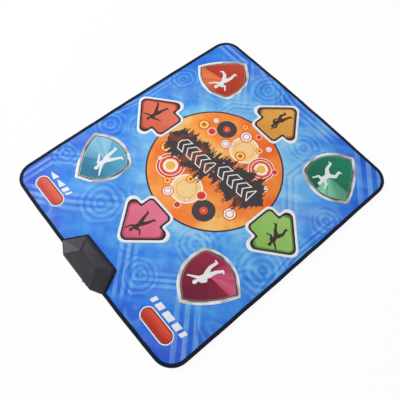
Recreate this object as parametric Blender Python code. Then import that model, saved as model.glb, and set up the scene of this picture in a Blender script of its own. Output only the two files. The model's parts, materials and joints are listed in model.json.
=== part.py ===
"""A dance mat controller: a soft layered mat with ten press zones and a rigid control box at its far edge.

Metres, +Z up. The origin is the middle of the mat's underside, and +Y runs towards the control box.
The mat's layers lie one on another with a small gap, and every press zone carries a printed pad and the
contact patch under it. The control box holds the switch, the socket, the circuit board and the battery bay.
"""

import math

import bmesh
import bpy
from mathutils import Matrix, Vector

# Mat outline
MAT_WIDTH = 0.798
MAT_DEPTH = 0.930
MAT_CORNER_RADIUS = 0.062
SIDE_BOW = 0.003
END_BOW = 0.0065
BOW_SHARE = 0.8

# Clearances
GAP = 0.0003
WINDOW_GAP = 0.0005
EDGE_GAP = 0.0004

# Layers, from the floor up
TAPE_THICKNESS = 0.0007
TAPE_LEG = 0.011
TAPE_ROUND = 0.0006
BASE_THICKNESS = 0.0010
BASE_BEND_RUN = 0.002
CORE_THICKNESS = 0.0024
FILM_THICKNESS = 0.0003
CARBON_THICKNESS = 0.0002
SPACER_THICKNESS = 0.0020
COVER_THICKNESS = 0.0007
PAD_THICKNESS = 0.0011
PAD_CHAMFER = 0.0003
PATCH_MARGIN = 0.004
PATCH_GAP = 0.001

# Arrow pads, about the zone's centre, with the tip at +Y
ARROW_STEM_HALF = 0.058
ARROW_STEM_LENGTH = 0.042
ARROW_SHOULDER = 0.047
ARROW_WING_HALF = 0.123
ARROW_TIP = 0.097
ARROW_STEM_RADIUS = 0.020
ARROW_ARMPIT_RADIUS = 0.006
ARROW_WING_RADIUS = 0.023
ARROW_TIP_RADIUS = 0.024

# Corner pads, shaped like shields, with the tip at +Y
SHIELD_HALF = 0.0885
SHIELD_BACK = 0.074
SHIELD_BACK_BULGE = 0.024
SHIELD_BACK_RADIUS = 0.290
SHIELD_FLANK_HALF = 0.095
SHIELD_FLANK_Y = 0.035
SHIELD_FLANK_RADIUS = 0.112
SHIELD_TIP = 0.0885
SHIELD_TIP_RADIUS = 0.032
SHIELD_CORNER_RADIUS = 0.005

# Pill pads of the two menu keys
PILL_WIDTH = 0.1255
PILL_HEIGHT = 0.048
PILL_RADIUS = 0.0238

# Places of the press zones: how far a zone's centre lies from the mat's side, far edge or near edge
MIDDLE_ROW_Y = -0.040
ARROW_SIDE_MARGIN = 0.1055
ARROW_FAR_MARGIN = 0.217
ARROW_NEAR_MARGIN = 0.1185
SHIELD_SIDE_MARGIN = 0.148
SHIELD_FAR_MARGIN = 0.266
SHIELD_NEAR_MARGIN = 0.150
SHIELD_TILT = math.radians(35.3)
PILL_SIDE_MARGIN = 0.129
PILL_FAR_MARGIN = 0.065
CARBON_HALF = 0.045
CARBON_RADIUS = 0.012
PILL_CARBON_MARGIN = 0.006

# Control box outline, about the middle of the mat's far edge
BOX_END_HALF = 0.107
BOX_INNER_HALF = 0.0705
BOX_OUTER_HALF = 0.066
BOX_REACH = 0.0715
BOX_END_BACK = 0.004
BOX_OVERHANG = 0.019

# Control box shells
FLANGE_THICKNESS = 0.0012
FLOOR_THICKNESS = 0.0022
MAT_TUCK = 0.0095
LIP_WIDTH = 0.009
LIP_THICKNESS = 0.002
LOWER_WALL = 0.002
LOWER_WALL_BACK = 0.010
LOWER_WALL_SETBACK = 0.0006
EAR_SINK = 0.0002
UPPER_WALL = 0.0022
OPENING_WALL = 0.003
ROOF_THICKNESS = 0.0024
WALL_LEAN = 0.6
INNER_WALL_TOP = 0.020
END_WALL_TOP = 0.015
OUTER_WALL_TOP = 0.017
RIDGE_HALF = 0.038
RIDGE_BACK = 0.025
RIDGE_TOP = 0.030
SHELL_BEVEL = 0.0012

# Case screws, their bosses and the places of these
SCREW_END_X = 0.083
SCREW_END_BACK = 0.003
SCREW_INNER_BACK = 0.055
SCREW_OUTER_SETBACK = 0.011
SCREW_RADIUS = 0.0015
SCREW_TOP = 0.015
SCREW_HEAD_RADIUS = 0.0029
SCREW_HEAD_BOTTOM = 0.0006
SCREW_HEAD_HEIGHT = 0.0018
SCREW_DRIVE_RADIUS = 0.0012
SCREW_DRIVE_DEPTH = 0.0009
SCREW_HOLE_GAP = 0.0003
SCREW_HEAD_GAP = 0.0004
SCREW_TIP_GAP = 0.0005
BOSS_WALL = 0.0018
LOWER_BOSS_RADIUS = 0.0043

# Battery bay, cells and door
BAY_X = 0.007
BAY_CENTRE_BACK = 0.030
BAY_WALL = 0.002
BAY_HEIGHT = 0.013
CELL_RADIUS = 0.00725
CELL_LENGTH = 0.0495
CELL_NUB_RADIUS = 0.0027
CELL_NUB_LENGTH = 0.0010
CELL_PITCH_GAP = 0.0007
CELL_SIDE_GAP = 0.00055
CELL_FLOOR_GAP = 0.0006
PLATE_THICKNESS = 0.0005
PLATE_WIDTH = 0.012
PLATE_BOTTOM = 0.003
SPRING_LENGTH = 0.005
SPRING_RADIUS = 0.003
SPRING_WIRE = 0.00035
SPRING_TURNS = 3.5
DOOR_LEDGE = 0.0005
DOOR_GAP = 0.0004
DOOR_BOTTOM = 0.0004
DOOR_TOP = 0.0022
KNUCKLE_RADIUS = 0.0011
PIN_RADIUS = 0.0007
PIN_LENGTH = 0.0013
PIN_GAP = 0.0002

# Circuit board, what it stands on and what it carries
BOARD_X = -0.066
BOARD_WIDTH = 0.058
BOARD_DEPTH = 0.063
BOARD_SETBACK = 0.006
BOARD_BOTTOM = 0.005
BOARD_THICKNESS = 0.0016
POST_RADIUS = 0.0028
POST_MARGIN = 0.006
POST_PILOT_BOTTOM = 0.0014
BOARD_SCREW_RADIUS = 0.0010
BOARD_SCREW_GAP = 0.0003
BOARD_SCREW_HEAD_RADIUS = 0.0022
BOARD_SCREW_HEAD_HEIGHT = 0.0014
CHIP_X = -0.037
CHIP_Y = 0.030
CHIP_SIDE = 0.014
CHIP_HEIGHT = 0.0016
CRYSTAL_X = -0.019
CRYSTAL_Y = 0.020
CRYSTAL_LENGTH = 0.0100
CRYSTAL_WIDTH = 0.0042
CRYSTAL_HEIGHT = 0.0034
CAPACITOR_X = -0.060
CAPACITOR_Y = 0.036
CAPACITOR_RADIUS = 0.003
CAPACITOR_HEIGHT = 0.007

# Film tail and its connector
TAIL_X = -0.037
TAIL_WIDTH = 0.020
TAIL_SIDE_GAP = 0.002
CONNECTOR_WIDTH = 0.026
CONNECTOR_DEPTH = 0.006
CONNECTOR_HEIGHT = 0.004
CONNECTOR_MARGIN = 0.001
CONNECTOR_SLOT_WIDTH = 0.022
CONNECTOR_SLOT_DEPTH = 0.003
CONNECTOR_SLOT_HEIGHT = 0.0009
CONNECTOR_SLOT_UP = 0.0014
TAIL_PLUG_DEPTH = 0.0025

# Slide switch
SWITCH_X = -0.036
SWITCH_WIDTH = 0.013
SWITCH_DEPTH = 0.007
SWITCH_HEIGHT = 0.0055
SWITCH_SETBACK = 0.0015
SWITCH_TRAVEL = 0.004
KNOB_WIDTH = 0.004
KNOB_HEIGHT = 0.0022
KNOB_UP = 0.0031
KNOB_ROOT = 0.0015
KNOB_GAP = 0.0005
KNOB_CAP_MARGIN = 0.0007
KNOB_CAP_GAP = 0.0006
KNOB_CAP_DEPTH = 0.0022

# Socket for the cord
SOCKET_X = -0.052
SOCKET_WIDTH = 0.009
SOCKET_DEPTH = 0.012
SOCKET_SETBACK = 0.0025
SOCKET_HEIGHT = 0.007
SOCKET_UP = 0.0041
SOCKET_BARREL_RADIUS = 0.0024
SOCKET_BORE_RADIUS = 0.0018
SOCKET_BORE_DEPTH = 0.012
SOCKET_PROUD = 0.0005
SOCKET_SLOT_GAP = 0.0004

# Inlay on the sloping top of the box
PANEL_THICKNESS = 0.0008
PANEL_PROUD = 0.0001
PANEL_SIDE_MARGIN = 0.006
PANEL_LOWER_MARGIN = 0.0045
PANEL_RIDGE_MARGIN = 0.003
PANEL_RADIUS = 0.003

# Shaping
ARC_STEP = math.radians(16)
ARC_FEWEST_STEPS = 4
ROUND_SEGMENTS = 16
SMOOTH_ANGLE = math.radians(35)
CUT_MARGIN = 0.005

# Heights that follow from the layers
TAPE_LIFT = TAPE_THICKNESS + GAP
CORE_Z = BASE_THICKNESS + GAP
LOWER_FILM_Z = CORE_Z + CORE_THICKNESS + GAP
SPACER_Z = LOWER_FILM_Z + FILM_THICKNESS + GAP
UPPER_FILM_Z = SPACER_Z + SPACER_THICKNESS + GAP
COVER_Z = UPPER_FILM_Z + FILM_THICKNESS + GAP
COVER_TOP = COVER_Z + COVER_THICKNESS
TAPE_TOP = COVER_TOP + GAP + TAPE_THICKNESS

# Heights and places that follow from the control box
EDGE_Y = MAT_DEPTH / 2
SEAM_Z = COVER_TOP + GAP
LOWER_WALL_TOP = COVER_TOP
LIP_TOP = SEAM_Z + LIP_THICKNESS
CELL_PITCH = 2 * CELL_RADIUS + CELL_PITCH_GAP
CELL_Z = FLOOR_THICKNESS + CELL_FLOOR_GAP + CELL_RADIUS
BAY_LENGTH = CELL_LENGTH + CELL_NUB_LENGTH + SPRING_LENGTH + 2 * PLATE_THICKNESS + 5 * GAP
BAY_DEPTH = 2 * (CELL_PITCH + CELL_RADIUS + CELL_SIDE_GAP)
BAY_Y = -BAY_CENTRE_BACK - BAY_DEPTH / 2
HINGE_Y = BAY_Y + GAP + DOOR_GAP + KNUCKLE_RADIUS
HINGE_Z = (DOOR_BOTTOM + DOOR_TOP) / 2
BOARD_Y = BOX_OVERHANG - BOARD_SETBACK - BOARD_DEPTH
BOARD_TOP = BOARD_BOTTOM + BOARD_THICKNESS
PART_Z = BOARD_TOP + GAP
KNOB_Z = PART_Z + KNOB_UP
SOCKET_Z = PART_Z + SOCKET_UP


def colour(red, green, blue):
    """Linear colour of an sRGB colour given in 0 to 255."""
    return tuple(((value / 255 + 0.055) / 1.055) ** 2.4 for value in (red, green, blue)) + (1.0,)


class Zone:
    """One press zone: its name, the shape of its pad, its centre, its turn and its printed colour."""

    def __init__(self, name, shape, x, y, turn, tint):
        self.name = name
        self.shape = shape
        self.x = x
        self.y = y
        self.turn = turn
        self.tint = tint


def zones():
    """The ten press zones: four arrows, four corner shields and two pills."""
    side = MAT_WIDTH / 2
    far = MAT_DEPTH / 2
    found = []
    arrows = (
        ("up", 0.0, far - ARROW_FAR_MARGIN, 0, colour(232, 115, 140)),
        ("left", ARROW_SIDE_MARGIN - side, MIDDLE_ROW_Y, 90, colour(150, 195, 100)),
        ("down", 0.0, ARROW_NEAR_MARGIN - far, 180, colour(225, 160, 70)),
        ("right", side - ARROW_SIDE_MARGIN, MIDDLE_ROW_Y, -90, colour(235, 105, 75)),
    )
    for name, x, y, turn, tint in arrows:
        found.append(Zone(name, "arrow", x, y, math.radians(turn), tint))
    far_y = far - SHIELD_FAR_MARGIN
    near_y = SHIELD_NEAR_MARGIN - far
    shields = (
        ("up_right", 1, far_y, colour(70, 150, 180)),
        ("up_left", -1, far_y, colour(150, 50, 70)),
        ("down_left", -1, near_y, colour(40, 120, 95)),
        ("down_right", 1, near_y, colour(205, 80, 50)),
    )
    for name, way, y, tint in shields:
        tilt = SHIELD_TILT if y == far_y else -SHIELD_TILT
        turn = way * (math.pi / 2 + tilt)
        found.append(Zone(name, "shield", way * (side - SHIELD_SIDE_MARGIN), y, turn, tint))
    for name, way in (("start", 1), ("select", -1)):
        x = way * (side - PILL_SIDE_MARGIN)
        found.append(Zone(name, "pill", x, far - PILL_FAR_MARGIN, 0.0, colour(215, 85, 60)))
    return found


def arrow_corners():
    """Corners of an arrow pad, each (x, y, fillet radius), counter-clockwise."""
    stem_end = -ARROW_SHOULDER - ARROW_STEM_LENGTH
    right = [
        (ARROW_STEM_HALF, stem_end, ARROW_STEM_RADIUS),
        (ARROW_STEM_HALF, -ARROW_SHOULDER, ARROW_ARMPIT_RADIUS),
        (ARROW_WING_HALF, -ARROW_SHOULDER, ARROW_WING_RADIUS),
    ]
    left = [(-x, y, radius) for x, y, radius in reversed(right)]
    return right + [(0.0, ARROW_TIP, ARROW_TIP_RADIUS)] + left


def shield_corners():
    """Corners of a corner pad, whose flanks and back are wide arcs."""
    right = [
        (SHIELD_HALF, -SHIELD_BACK, SHIELD_CORNER_RADIUS),
        (SHIELD_FLANK_HALF, SHIELD_FLANK_Y, SHIELD_FLANK_RADIUS),
    ]
    left = [(-x, y, radius) for x, y, radius in reversed(right)]
    tip = [(0.0, SHIELD_TIP, SHIELD_TIP_RADIUS)]
    back = [(0.0, -SHIELD_BACK - SHIELD_BACK_BULGE, SHIELD_BACK_RADIUS)]
    return right + tip + left + back


def rectangle_corners(width, height, radius):
    """Corners of a rectangle about the origin."""
    x = width / 2
    y = height / 2
    return [(-x, -y, radius), (x, -y, radius), (x, y, radius), (-x, y, radius)]


def pad_corners(shape):
    """Corners of the pad of a zone of this shape."""
    if shape == "arrow":
        return arrow_corners()
    if shape == "shield":
        return shield_corners()
    return rectangle_corners(PILL_WIDTH, PILL_HEIGHT, PILL_RADIUS)


def box_corners():
    """Corners of the control box: two along the mat, an end, two at the outer side and an end."""
    return [
        (-BOX_INNER_HALF, -BOX_REACH, 0.0),
        (BOX_INNER_HALF, -BOX_REACH, 0.0),
        (BOX_END_HALF, -BOX_END_BACK, 0.0),
        (BOX_OUTER_HALF, BOX_OVERHANG, 0.0),
        (-BOX_OUTER_HALF, BOX_OVERHANG, 0.0),
        (-BOX_END_HALF, -BOX_END_BACK, 0.0),
    ]


def grown(corners, distance):
    """The outline moved outwards: by one distance, or by a list with one for the edge after each corner."""
    count = len(corners)
    distances = distance if isinstance(distance, list) else [distance] * count
    moved = []
    for index, (x, y, radius) in enumerate(corners):
        corner = Vector((x, y))
        arriving = (corner - Vector(corners[index - 1][:2])).normalized()
        leaving = (Vector(corners[(index + 1) % count][:2]) - corner).normalized()
        first = Vector((arriving.y, -arriving.x))
        second = Vector((leaving.y, -leaving.x))
        by_first = distances[index - 1]
        by_second = distances[index]
        turn = first.x * second.y - first.y * second.x
        shift = Vector((second.y, -second.x)) * by_first + Vector((-first.y, first.x)) * by_second
        shift = shift / turn
        change = (by_first + by_second) / 2
        new_radius = max(0.0, radius + math.copysign(change, turn * change)) if radius else 0.0
        moved.append((x + shift.x, y + shift.y, new_radius))
    return moved


def rounded(corners):
    """The points of a closed outline, with an arc for each corner that has a fillet radius."""
    points = []
    count = len(corners)
    for index, (x, y, radius) in enumerate(corners):
        corner = Vector((x, y))
        if radius == 0.0:
            points.append(corner)
            continue
        before = (Vector(corners[index - 1][:2]) - corner).normalized()
        after = (Vector(corners[(index + 1) % count][:2]) - corner).normalized()
        half = before.angle(after) / 2
        turn = math.pi - 2 * half
        side = -1 if before.x * after.y - before.y * after.x > 0 else 1
        centre = corner + (before + after).normalized() * radius / math.sin(half)
        start = corner + before * radius / math.tan(half) - centre
        steps = max(ARC_FEWEST_STEPS, round(turn / ARC_STEP))
        for step in range(steps + 1):
            points.append(centre + Matrix.Rotation(side * turn * step / steps, 2) @ start)
    return points


def placed(points, zone):
    """Points of a zone's own outline, in the mat's frame."""
    turn = Matrix.Rotation(zone.turn, 2)
    return [turn @ Vector(point[:2]) + Vector((zone.x, zone.y)) for point in points]


def circle(x, y, radius):
    """Points of a circle."""
    angles = [2 * math.pi * index / ROUND_SEGMENTS for index in range(ROUND_SEGMENTS)]
    return [Vector((x + radius * math.cos(angle), y + radius * math.sin(angle))) for angle in angles]


def at_height(points, z):
    """The points of a flat outline as 3D points."""
    return [(point[0], point[1], z) for point in points]


def add_loop(bm, points):
    """Adds a closed loop of edges through 3D points and returns its vertices."""
    ring = [bm.verts.new(point) for point in points]
    for index, vertex in enumerate(ring):
        bm.edges.new((ring[index - 1], vertex))
    return ring


def bridge(bm, lower, upper):
    """Adds the faces between two rings of as many vertices."""
    for index in range(len(lower)):
        bm.faces.new((lower[index - 1], lower[index], upper[index], upper[index - 1]))


def add_loft(bm, loops, ring=False):
    """Adds a closed skin through loops of 3D points, with flat ends, or joined end to end as a ring."""
    rings = [add_loop(bm, points) for points in loops]
    for lower, upper in zip(rings, rings[1:]):
        bridge(bm, lower, upper)
    if ring:
        bridge(bm, rings[-1], rings[0])
    else:
        bm.faces.new(rings[0])
        bm.faces.new(rings[-1])


def add_prism(bm, outline, bottom, top):
    """Adds a straight prism on a flat outline."""
    add_loft(bm, [at_height(outline, bottom), at_height(outline, top)])


def add_box(bm, x0, x1, y0, y1, z0, z1):
    """Adds a box between two corners."""
    add_prism(bm, [(x0, y0), (x1, y0), (x1, y1), (x0, y1)], z0, z1)


def add_turned(bm, x, y, profile):
    """Adds a turned body about a vertical axis from (radius, height) pairs, closed flat at both ends."""
    add_loft(bm, [at_height(circle(x, y, radius), z) for radius, z in profile])


def along_x(bm, vertices_before=0):
    """Turns what was added since then so that its local z runs along +X, its x along +Y, its y along +Z."""
    turn = Matrix(((0, 0, 1), (1, 0, 0), (0, 1, 0)))
    bm.verts.ensure_lookup_table()
    bmesh.ops.transform(bm, matrix=turn.to_4x4(), verts=bm.verts[vertices_before:])


def along_y(bm, vertices_before=0):
    """Turns what was added since then so that its local z runs along +Y, its x along -X, its y along +Z."""
    turn = Matrix(((-1, 0, 0), (0, 0, 1), (0, 1, 0)))
    bm.verts.ensure_lookup_table()
    bmesh.ops.transform(bm, matrix=turn.to_4x4(), verts=bm.verts[vertices_before:])


def solid(name, bm, material=None, parent=None):
    """Makes an object of a bmesh, with its faces pointing out."""
    bmesh.ops.recalc_face_normals(bm, faces=bm.faces[:])
    mesh = bpy.data.meshes.new(name)
    bm.to_mesh(mesh)
    bm.free()
    mesh.shade_smooth()
    mesh.set_sharp_from_angle(angle=SMOOTH_ANGLE)
    return shown(name, mesh, material, parent)


def shown(name, data, material, parent):
    """Makes an object that shows this mesh or curve, with a material of its own."""
    obj = bpy.data.objects.new(name, data)
    bpy.context.scene.collection.objects.link(obj)
    if material:
        if not data.materials:
            data.materials.append(None)
        obj.material_slots[0].link = "OBJECT"
        obj.material_slots[0].material = material
    obj.parent = parent
    return obj


def tool(name, bm, parent=None):
    """Makes a hidden body for a Boolean."""
    obj = solid(name, bm, parent=parent)
    obj.hide_render = True
    obj.display_type = "WIRE"
    return obj


def combine(obj, operation, other):
    """Cuts with, or joins, another body."""
    modifier = obj.modifiers.new(other.name, "BOOLEAN")
    modifier.operation = operation
    modifier.object = other
    modifier.solver = "EXACT"


def cut(obj, other):
    """Takes the other body away."""
    combine(obj, "DIFFERENCE", other)


def join(obj, other):
    """Adds the other body."""
    combine(obj, "UNION", other)


def empty(name, location, turn=0.0, parent=None):
    """Makes an empty that carries a moving piece."""
    obj = bpy.data.objects.new(name, None)
    bpy.context.scene.collection.objects.link(obj)
    obj.location = location
    obj.rotation_euler = (0.0, 0.0, turn)
    obj.parent = parent
    return obj


def finish(name, tint, roughness, metallic=0.0):
    """A plain material."""
    material = bpy.data.materials.new(name)
    material.use_nodes = True
    shader = material.node_tree.nodes["Principled BSDF"]
    shader.inputs["Base Color"].default_value = tint
    shader.inputs["Roughness"].default_value = roughness
    shader.inputs["Metallic"].default_value = metallic
    material.diffuse_color = tint
    return material


def clear_scene():
    """Removes whatever the scene holds."""
    for obj in list(bpy.data.objects):
        bpy.data.objects.remove(obj)


def bow_corner(half_length, bow):
    """Height and fillet radius of the corner that bows an edge out to this height at its middle."""
    height = bow / (1 - BOW_SHARE / 2)
    return height, BOW_SHARE * half_length**2 / height


def mat_corners():
    """Corners of the mat, with one at the middle of each edge that bows it out."""
    x = MAT_WIDTH / 2 - SIDE_BOW
    y = MAT_DEPTH / 2 - END_BOW
    side_height, side_radius = bow_corner(y, SIDE_BOW)
    end_height, end_radius = bow_corner(x, END_BOW)
    return [
        (-x, -y, MAT_CORNER_RADIUS),
        (0.0, -y - end_height, end_radius),
        (x, -y, MAT_CORNER_RADIUS),
        (x + side_height, 0.0, side_radius),
        (x, y, MAT_CORNER_RADIUS),
        (0.0, y + end_height, end_radius),
        (-x, y, MAT_CORNER_RADIUS),
        (-x - side_height, 0.0, side_radius),
    ]


def mat_outline(inset):
    """Points of the mat's outline, moved in."""
    return rounded(grown(mat_corners(), -inset))


def box_outline(mat_side, outer_side):
    """Corners of the box, its sides on the mat and its outer sides moved out by their own distance."""
    distances = [mat_side, mat_side, outer_side, outer_side, outer_side, mat_side]
    return grown(box_corners(), distances)


def layer_inset():
    """How far the layers stay inside the mat's outline, within the tape."""
    return TAPE_THICKNESS + EDGE_GAP


def box_tools():
    """The two bodies that make room for the control box: one for what ends at it, one for what it clamps."""
    place = (0.0, EDGE_Y, 0.0)
    bm = bmesh.new()
    around = box_outline(WINDOW_GAP, WINDOW_GAP)
    add_prism(bm, around, -CUT_MARGIN, TAPE_TOP + CUT_MARGIN)
    clearance = tool("box_clearance", bm)
    clearance.location = place
    bm = bmesh.new()
    notch = box_outline(-MAT_TUCK, BOX_OVERHANG + CUT_MARGIN)
    add_prism(bm, notch, -CUT_MARGIN, TAPE_TOP + CUT_MARGIN)
    notch_tool = tool("box_notch", bm)
    notch_tool.location = place
    return clearance, notch_tool


def base_sheet(material, clearance):
    """The anti-slip sheet, which bends up at its rim to lie over the tape's lower leg."""
    bend = TAPE_LEG + EDGE_GAP
    rim = layer_inset()
    lower = [(bend + BASE_BEND_RUN, 0.0), (bend, TAPE_LIFT), (rim, TAPE_LIFT)]
    upper = [
        (rim, TAPE_LIFT + BASE_THICKNESS),
        (bend + EDGE_GAP, TAPE_LIFT + BASE_THICKNESS),
        (bend + EDGE_GAP + BASE_BEND_RUN, BASE_THICKNESS),
    ]
    bm = bmesh.new()
    add_loft(bm, [at_height(mat_outline(inset), z) for inset, z in lower + upper])
    sheet = solid("base_sheet", bm, material)
    cut(sheet, clearance)


def foam_core(material, notch):
    """The foam sheet over the base sheet, thinner at the rim."""
    bend = TAPE_LEG + 3 * EDGE_GAP
    rim = layer_inset()
    section = [
        (bend + BASE_BEND_RUN, CORE_Z),
        (bend, CORE_Z + TAPE_LIFT),
        (rim, CORE_Z + TAPE_LIFT),
        (rim, CORE_Z + CORE_THICKNESS),
    ]
    bm = bmesh.new()
    add_loft(bm, [at_height(mat_outline(inset), z) for inset, z in section])
    core = solid("foam_core", bm, material)
    cut(core, notch)


def carbon_outline(zone):
    """Points of the printed carbon area under a zone."""
    if zone.shape == "pill":
        corners = grown(pad_corners(zone.shape), -PILL_CARBON_MARGIN)
    else:
        corners = rectangle_corners(2 * CARBON_HALF, 2 * CARBON_HALF, CARBON_RADIUS)
    return placed(rounded(corners), zone)


def lower_film(material, notch, all_zones):
    """The lower film, with a raised carbon print under each zone."""
    film_top = LOWER_FILM_Z + FILM_THICKNESS
    bm = bmesh.new()
    add_prism(bm, mat_outline(layer_inset()), LOWER_FILM_Z, film_top)
    film = solid("lower_film", bm, material)
    bm = bmesh.new()
    for zone in all_zones:
        add_prism(bm, carbon_outline(zone), LOWER_FILM_Z + FILM_THICKNESS / 2, film_top + CARBON_THICKNESS)
    join(film, tool("carbon_prints", bm))
    cut(film, notch)


def windowed_layer(name, material, notch, all_zones, margin, bottom, thickness):
    """A layer with a window for each zone, wider than the pad by a margin."""
    bm = bmesh.new()
    add_prism(bm, mat_outline(layer_inset()), bottom, bottom + thickness)
    layer = solid(name, bm, material)
    bm = bmesh.new()
    for zone in all_zones:
        window = placed(rounded(grown(pad_corners(zone.shape), margin)), zone)
        add_prism(bm, window, bottom - CUT_MARGIN, bottom + thickness + CUT_MARGIN)
    cut(layer, tool(name + "_windows", bm))
    cut(layer, notch)


def edge_binding(material, clearance):
    """The tape that wraps the mat's edge, open where the control box sits."""
    inner_top = TAPE_TOP - TAPE_THICKNESS
    section = [
        (TAPE_LEG, 0.0),
        (TAPE_ROUND, 0.0),
        (0.0, TAPE_ROUND),
        (0.0, TAPE_TOP - TAPE_ROUND),
        (TAPE_ROUND, TAPE_TOP),
        (TAPE_LEG, TAPE_TOP),
        (TAPE_LEG, inner_top),
        (TAPE_THICKNESS, inner_top),
        (TAPE_THICKNESS, TAPE_THICKNESS),
        (TAPE_LEG, TAPE_THICKNESS),
    ]
    bm = bmesh.new()
    add_loft(bm, [at_height(mat_outline(inset), z) for inset, z in section], ring=True)
    tape = solid("edge_binding", bm, material)
    cut(tape, clearance)


def pad_mesh(shape):
    """The mesh of a pad, with its base at z 0."""
    corners = pad_corners(shape)
    edge = rounded(corners)
    face = rounded(grown(corners, -PAD_CHAMFER))
    bm = bmesh.new()
    loops = [
        at_height(edge, 0.0),
        at_height(edge, PAD_THICKNESS - PAD_CHAMFER),
        at_height(face, PAD_THICKNESS),
    ]
    add_loft(bm, loops)
    bmesh.ops.recalc_face_normals(bm, faces=bm.faces[:])
    mesh = bpy.data.meshes.new("pad_" + shape)
    bm.to_mesh(mesh)
    bm.free()
    return mesh


def patch_mesh(shape):
    """The mesh of the moving contact patch under a pad, with its base at z 0."""
    bm = bmesh.new()
    add_prism(bm, rounded(grown(pad_corners(shape), PATCH_MARGIN)), 0.0, FILM_THICKNESS)
    bmesh.ops.recalc_face_normals(bm, faces=bm.faces[:])
    mesh = bpy.data.meshes.new("contact_" + shape)
    bm.to_mesh(mesh)
    bm.free()
    return mesh


def press_zones(all_zones, film_finish):
    """The pad and the contact patch of each zone, on an empty that slides down."""
    shapes = ("arrow", "shield", "pill")
    pads = {shape: pad_mesh(shape) for shape in shapes}
    patches = {shape: patch_mesh(shape) for shape in shapes}
    for zone in all_zones:
        carrier = empty("press_" + zone.name, (zone.x, zone.y, COVER_Z), zone.turn)
        print_finish = finish("pad_" + zone.name, zone.tint, 0.5)
        shown("pad_" + zone.name, pads[zone.shape], print_finish, carrier)
        patch = shown("contact_" + zone.name, patches[zone.shape], film_finish, carrier)
        patch.location.z = UPPER_FILM_Z - COVER_Z


def roof_body(bm, wall, drop, bottom):
    """Adds the closed form of the box over the mat, its walls moved in and its roof lowered."""
    def plan(z):
        return grown(box_corners(), -wall - WALL_LEAN * (z - SEAM_Z))

    tops = [INNER_WALL_TOP, INNER_WALL_TOP, END_WALL_TOP, OUTER_WALL_TOP, OUTER_WALL_TOP, END_WALL_TOP]
    lower = [bm.verts.new((x, y, bottom)) for x, y, _ in plan(bottom)]
    upper = []
    for index, top in enumerate(tops):
        x, y, _ = plan(top - drop)[index]
        upper.append(bm.verts.new((x, y, top - drop)))
    left, right = [bm.verts.new((x, -RIDGE_BACK, RIDGE_TOP - drop)) for x in (-RIDGE_HALF, RIDGE_HALF)]
    bm.faces.new(lower)
    for index in range(len(lower)):
        bm.faces.new((lower[index - 1], lower[index], upper[index], upper[index - 1]))
    bm.faces.new((upper[0], upper[1], right, left))
    bm.faces.new((upper[1], upper[2], right))
    bm.faces.new((upper[2], upper[3], right))
    bm.faces.new((upper[3], upper[4], left, right))
    bm.faces.new((upper[4], upper[5], left))
    bm.faces.new((upper[5], upper[0], left))


def screw_places():
    """Where the four case screws stand, in the box's frame."""
    return [
        (SCREW_END_X, -SCREW_END_BACK),
        (-SCREW_END_X, -SCREW_END_BACK),
        (0.0, -SCREW_INNER_BACK),
        (0.0, BOX_OVERHANG - SCREW_OUTER_SETBACK),
    ]


def slope_frame():
    """The frame of the sloping top of the box: x along the box, y up the slope, z out of it."""
    lean = WALL_LEAN * (INNER_WALL_TOP - SEAM_Z)
    foot = Vector((0.0, -BOX_REACH + lean, INNER_WALL_TOP))
    ridge = Vector((0.0, -RIDGE_BACK, RIDGE_TOP))
    up_slope = (ridge - foot).normalized()
    out = Vector((1.0, 0.0, 0.0)).cross(up_slope)
    frame = Matrix((Vector((1.0, 0.0, 0.0)), up_slope, out)).transposed().to_4x4()
    frame.translation = foot
    half = grown(box_corners(), -lean)[1][0]
    return frame, half, (ridge - foot).length


def panel_corners():
    """Corners of the inlay in the frame of the slope."""
    _, half, length = slope_frame()
    slope = [(-half, 0.0), (half, 0.0), (RIDGE_HALF, length), (-RIDGE_HALF, length)]
    corners = [(x, y, PANEL_RADIUS) for x, y in slope]
    margins = [-PANEL_LOWER_MARGIN, -PANEL_SIDE_MARGIN, -PANEL_RIDGE_MARGIN, -PANEL_SIDE_MARGIN]
    return [(x, y, PANEL_RADIUS) for x, y, _ in grown(corners, margins)]


def add_on_slope(bm, corners, bottom, top):
    """Adds a prism that stands on the sloping top of the box."""
    frame, _, _ = slope_frame()
    add_prism(bm, rounded(corners), bottom, top)
    bmesh.ops.transform(bm, matrix=frame, verts=bm.verts[:])


def knob_slot_x(clearance):
    """The span of x that the knob sweeps, with a clearance."""
    low = SWITCH_X - (SWITCH_TRAVEL + KNOB_WIDTH) / 2 - clearance
    high = SWITCH_X + (SWITCH_TRAVEL + KNOB_WIDTH) / 2 + clearance
    return low, high


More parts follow.
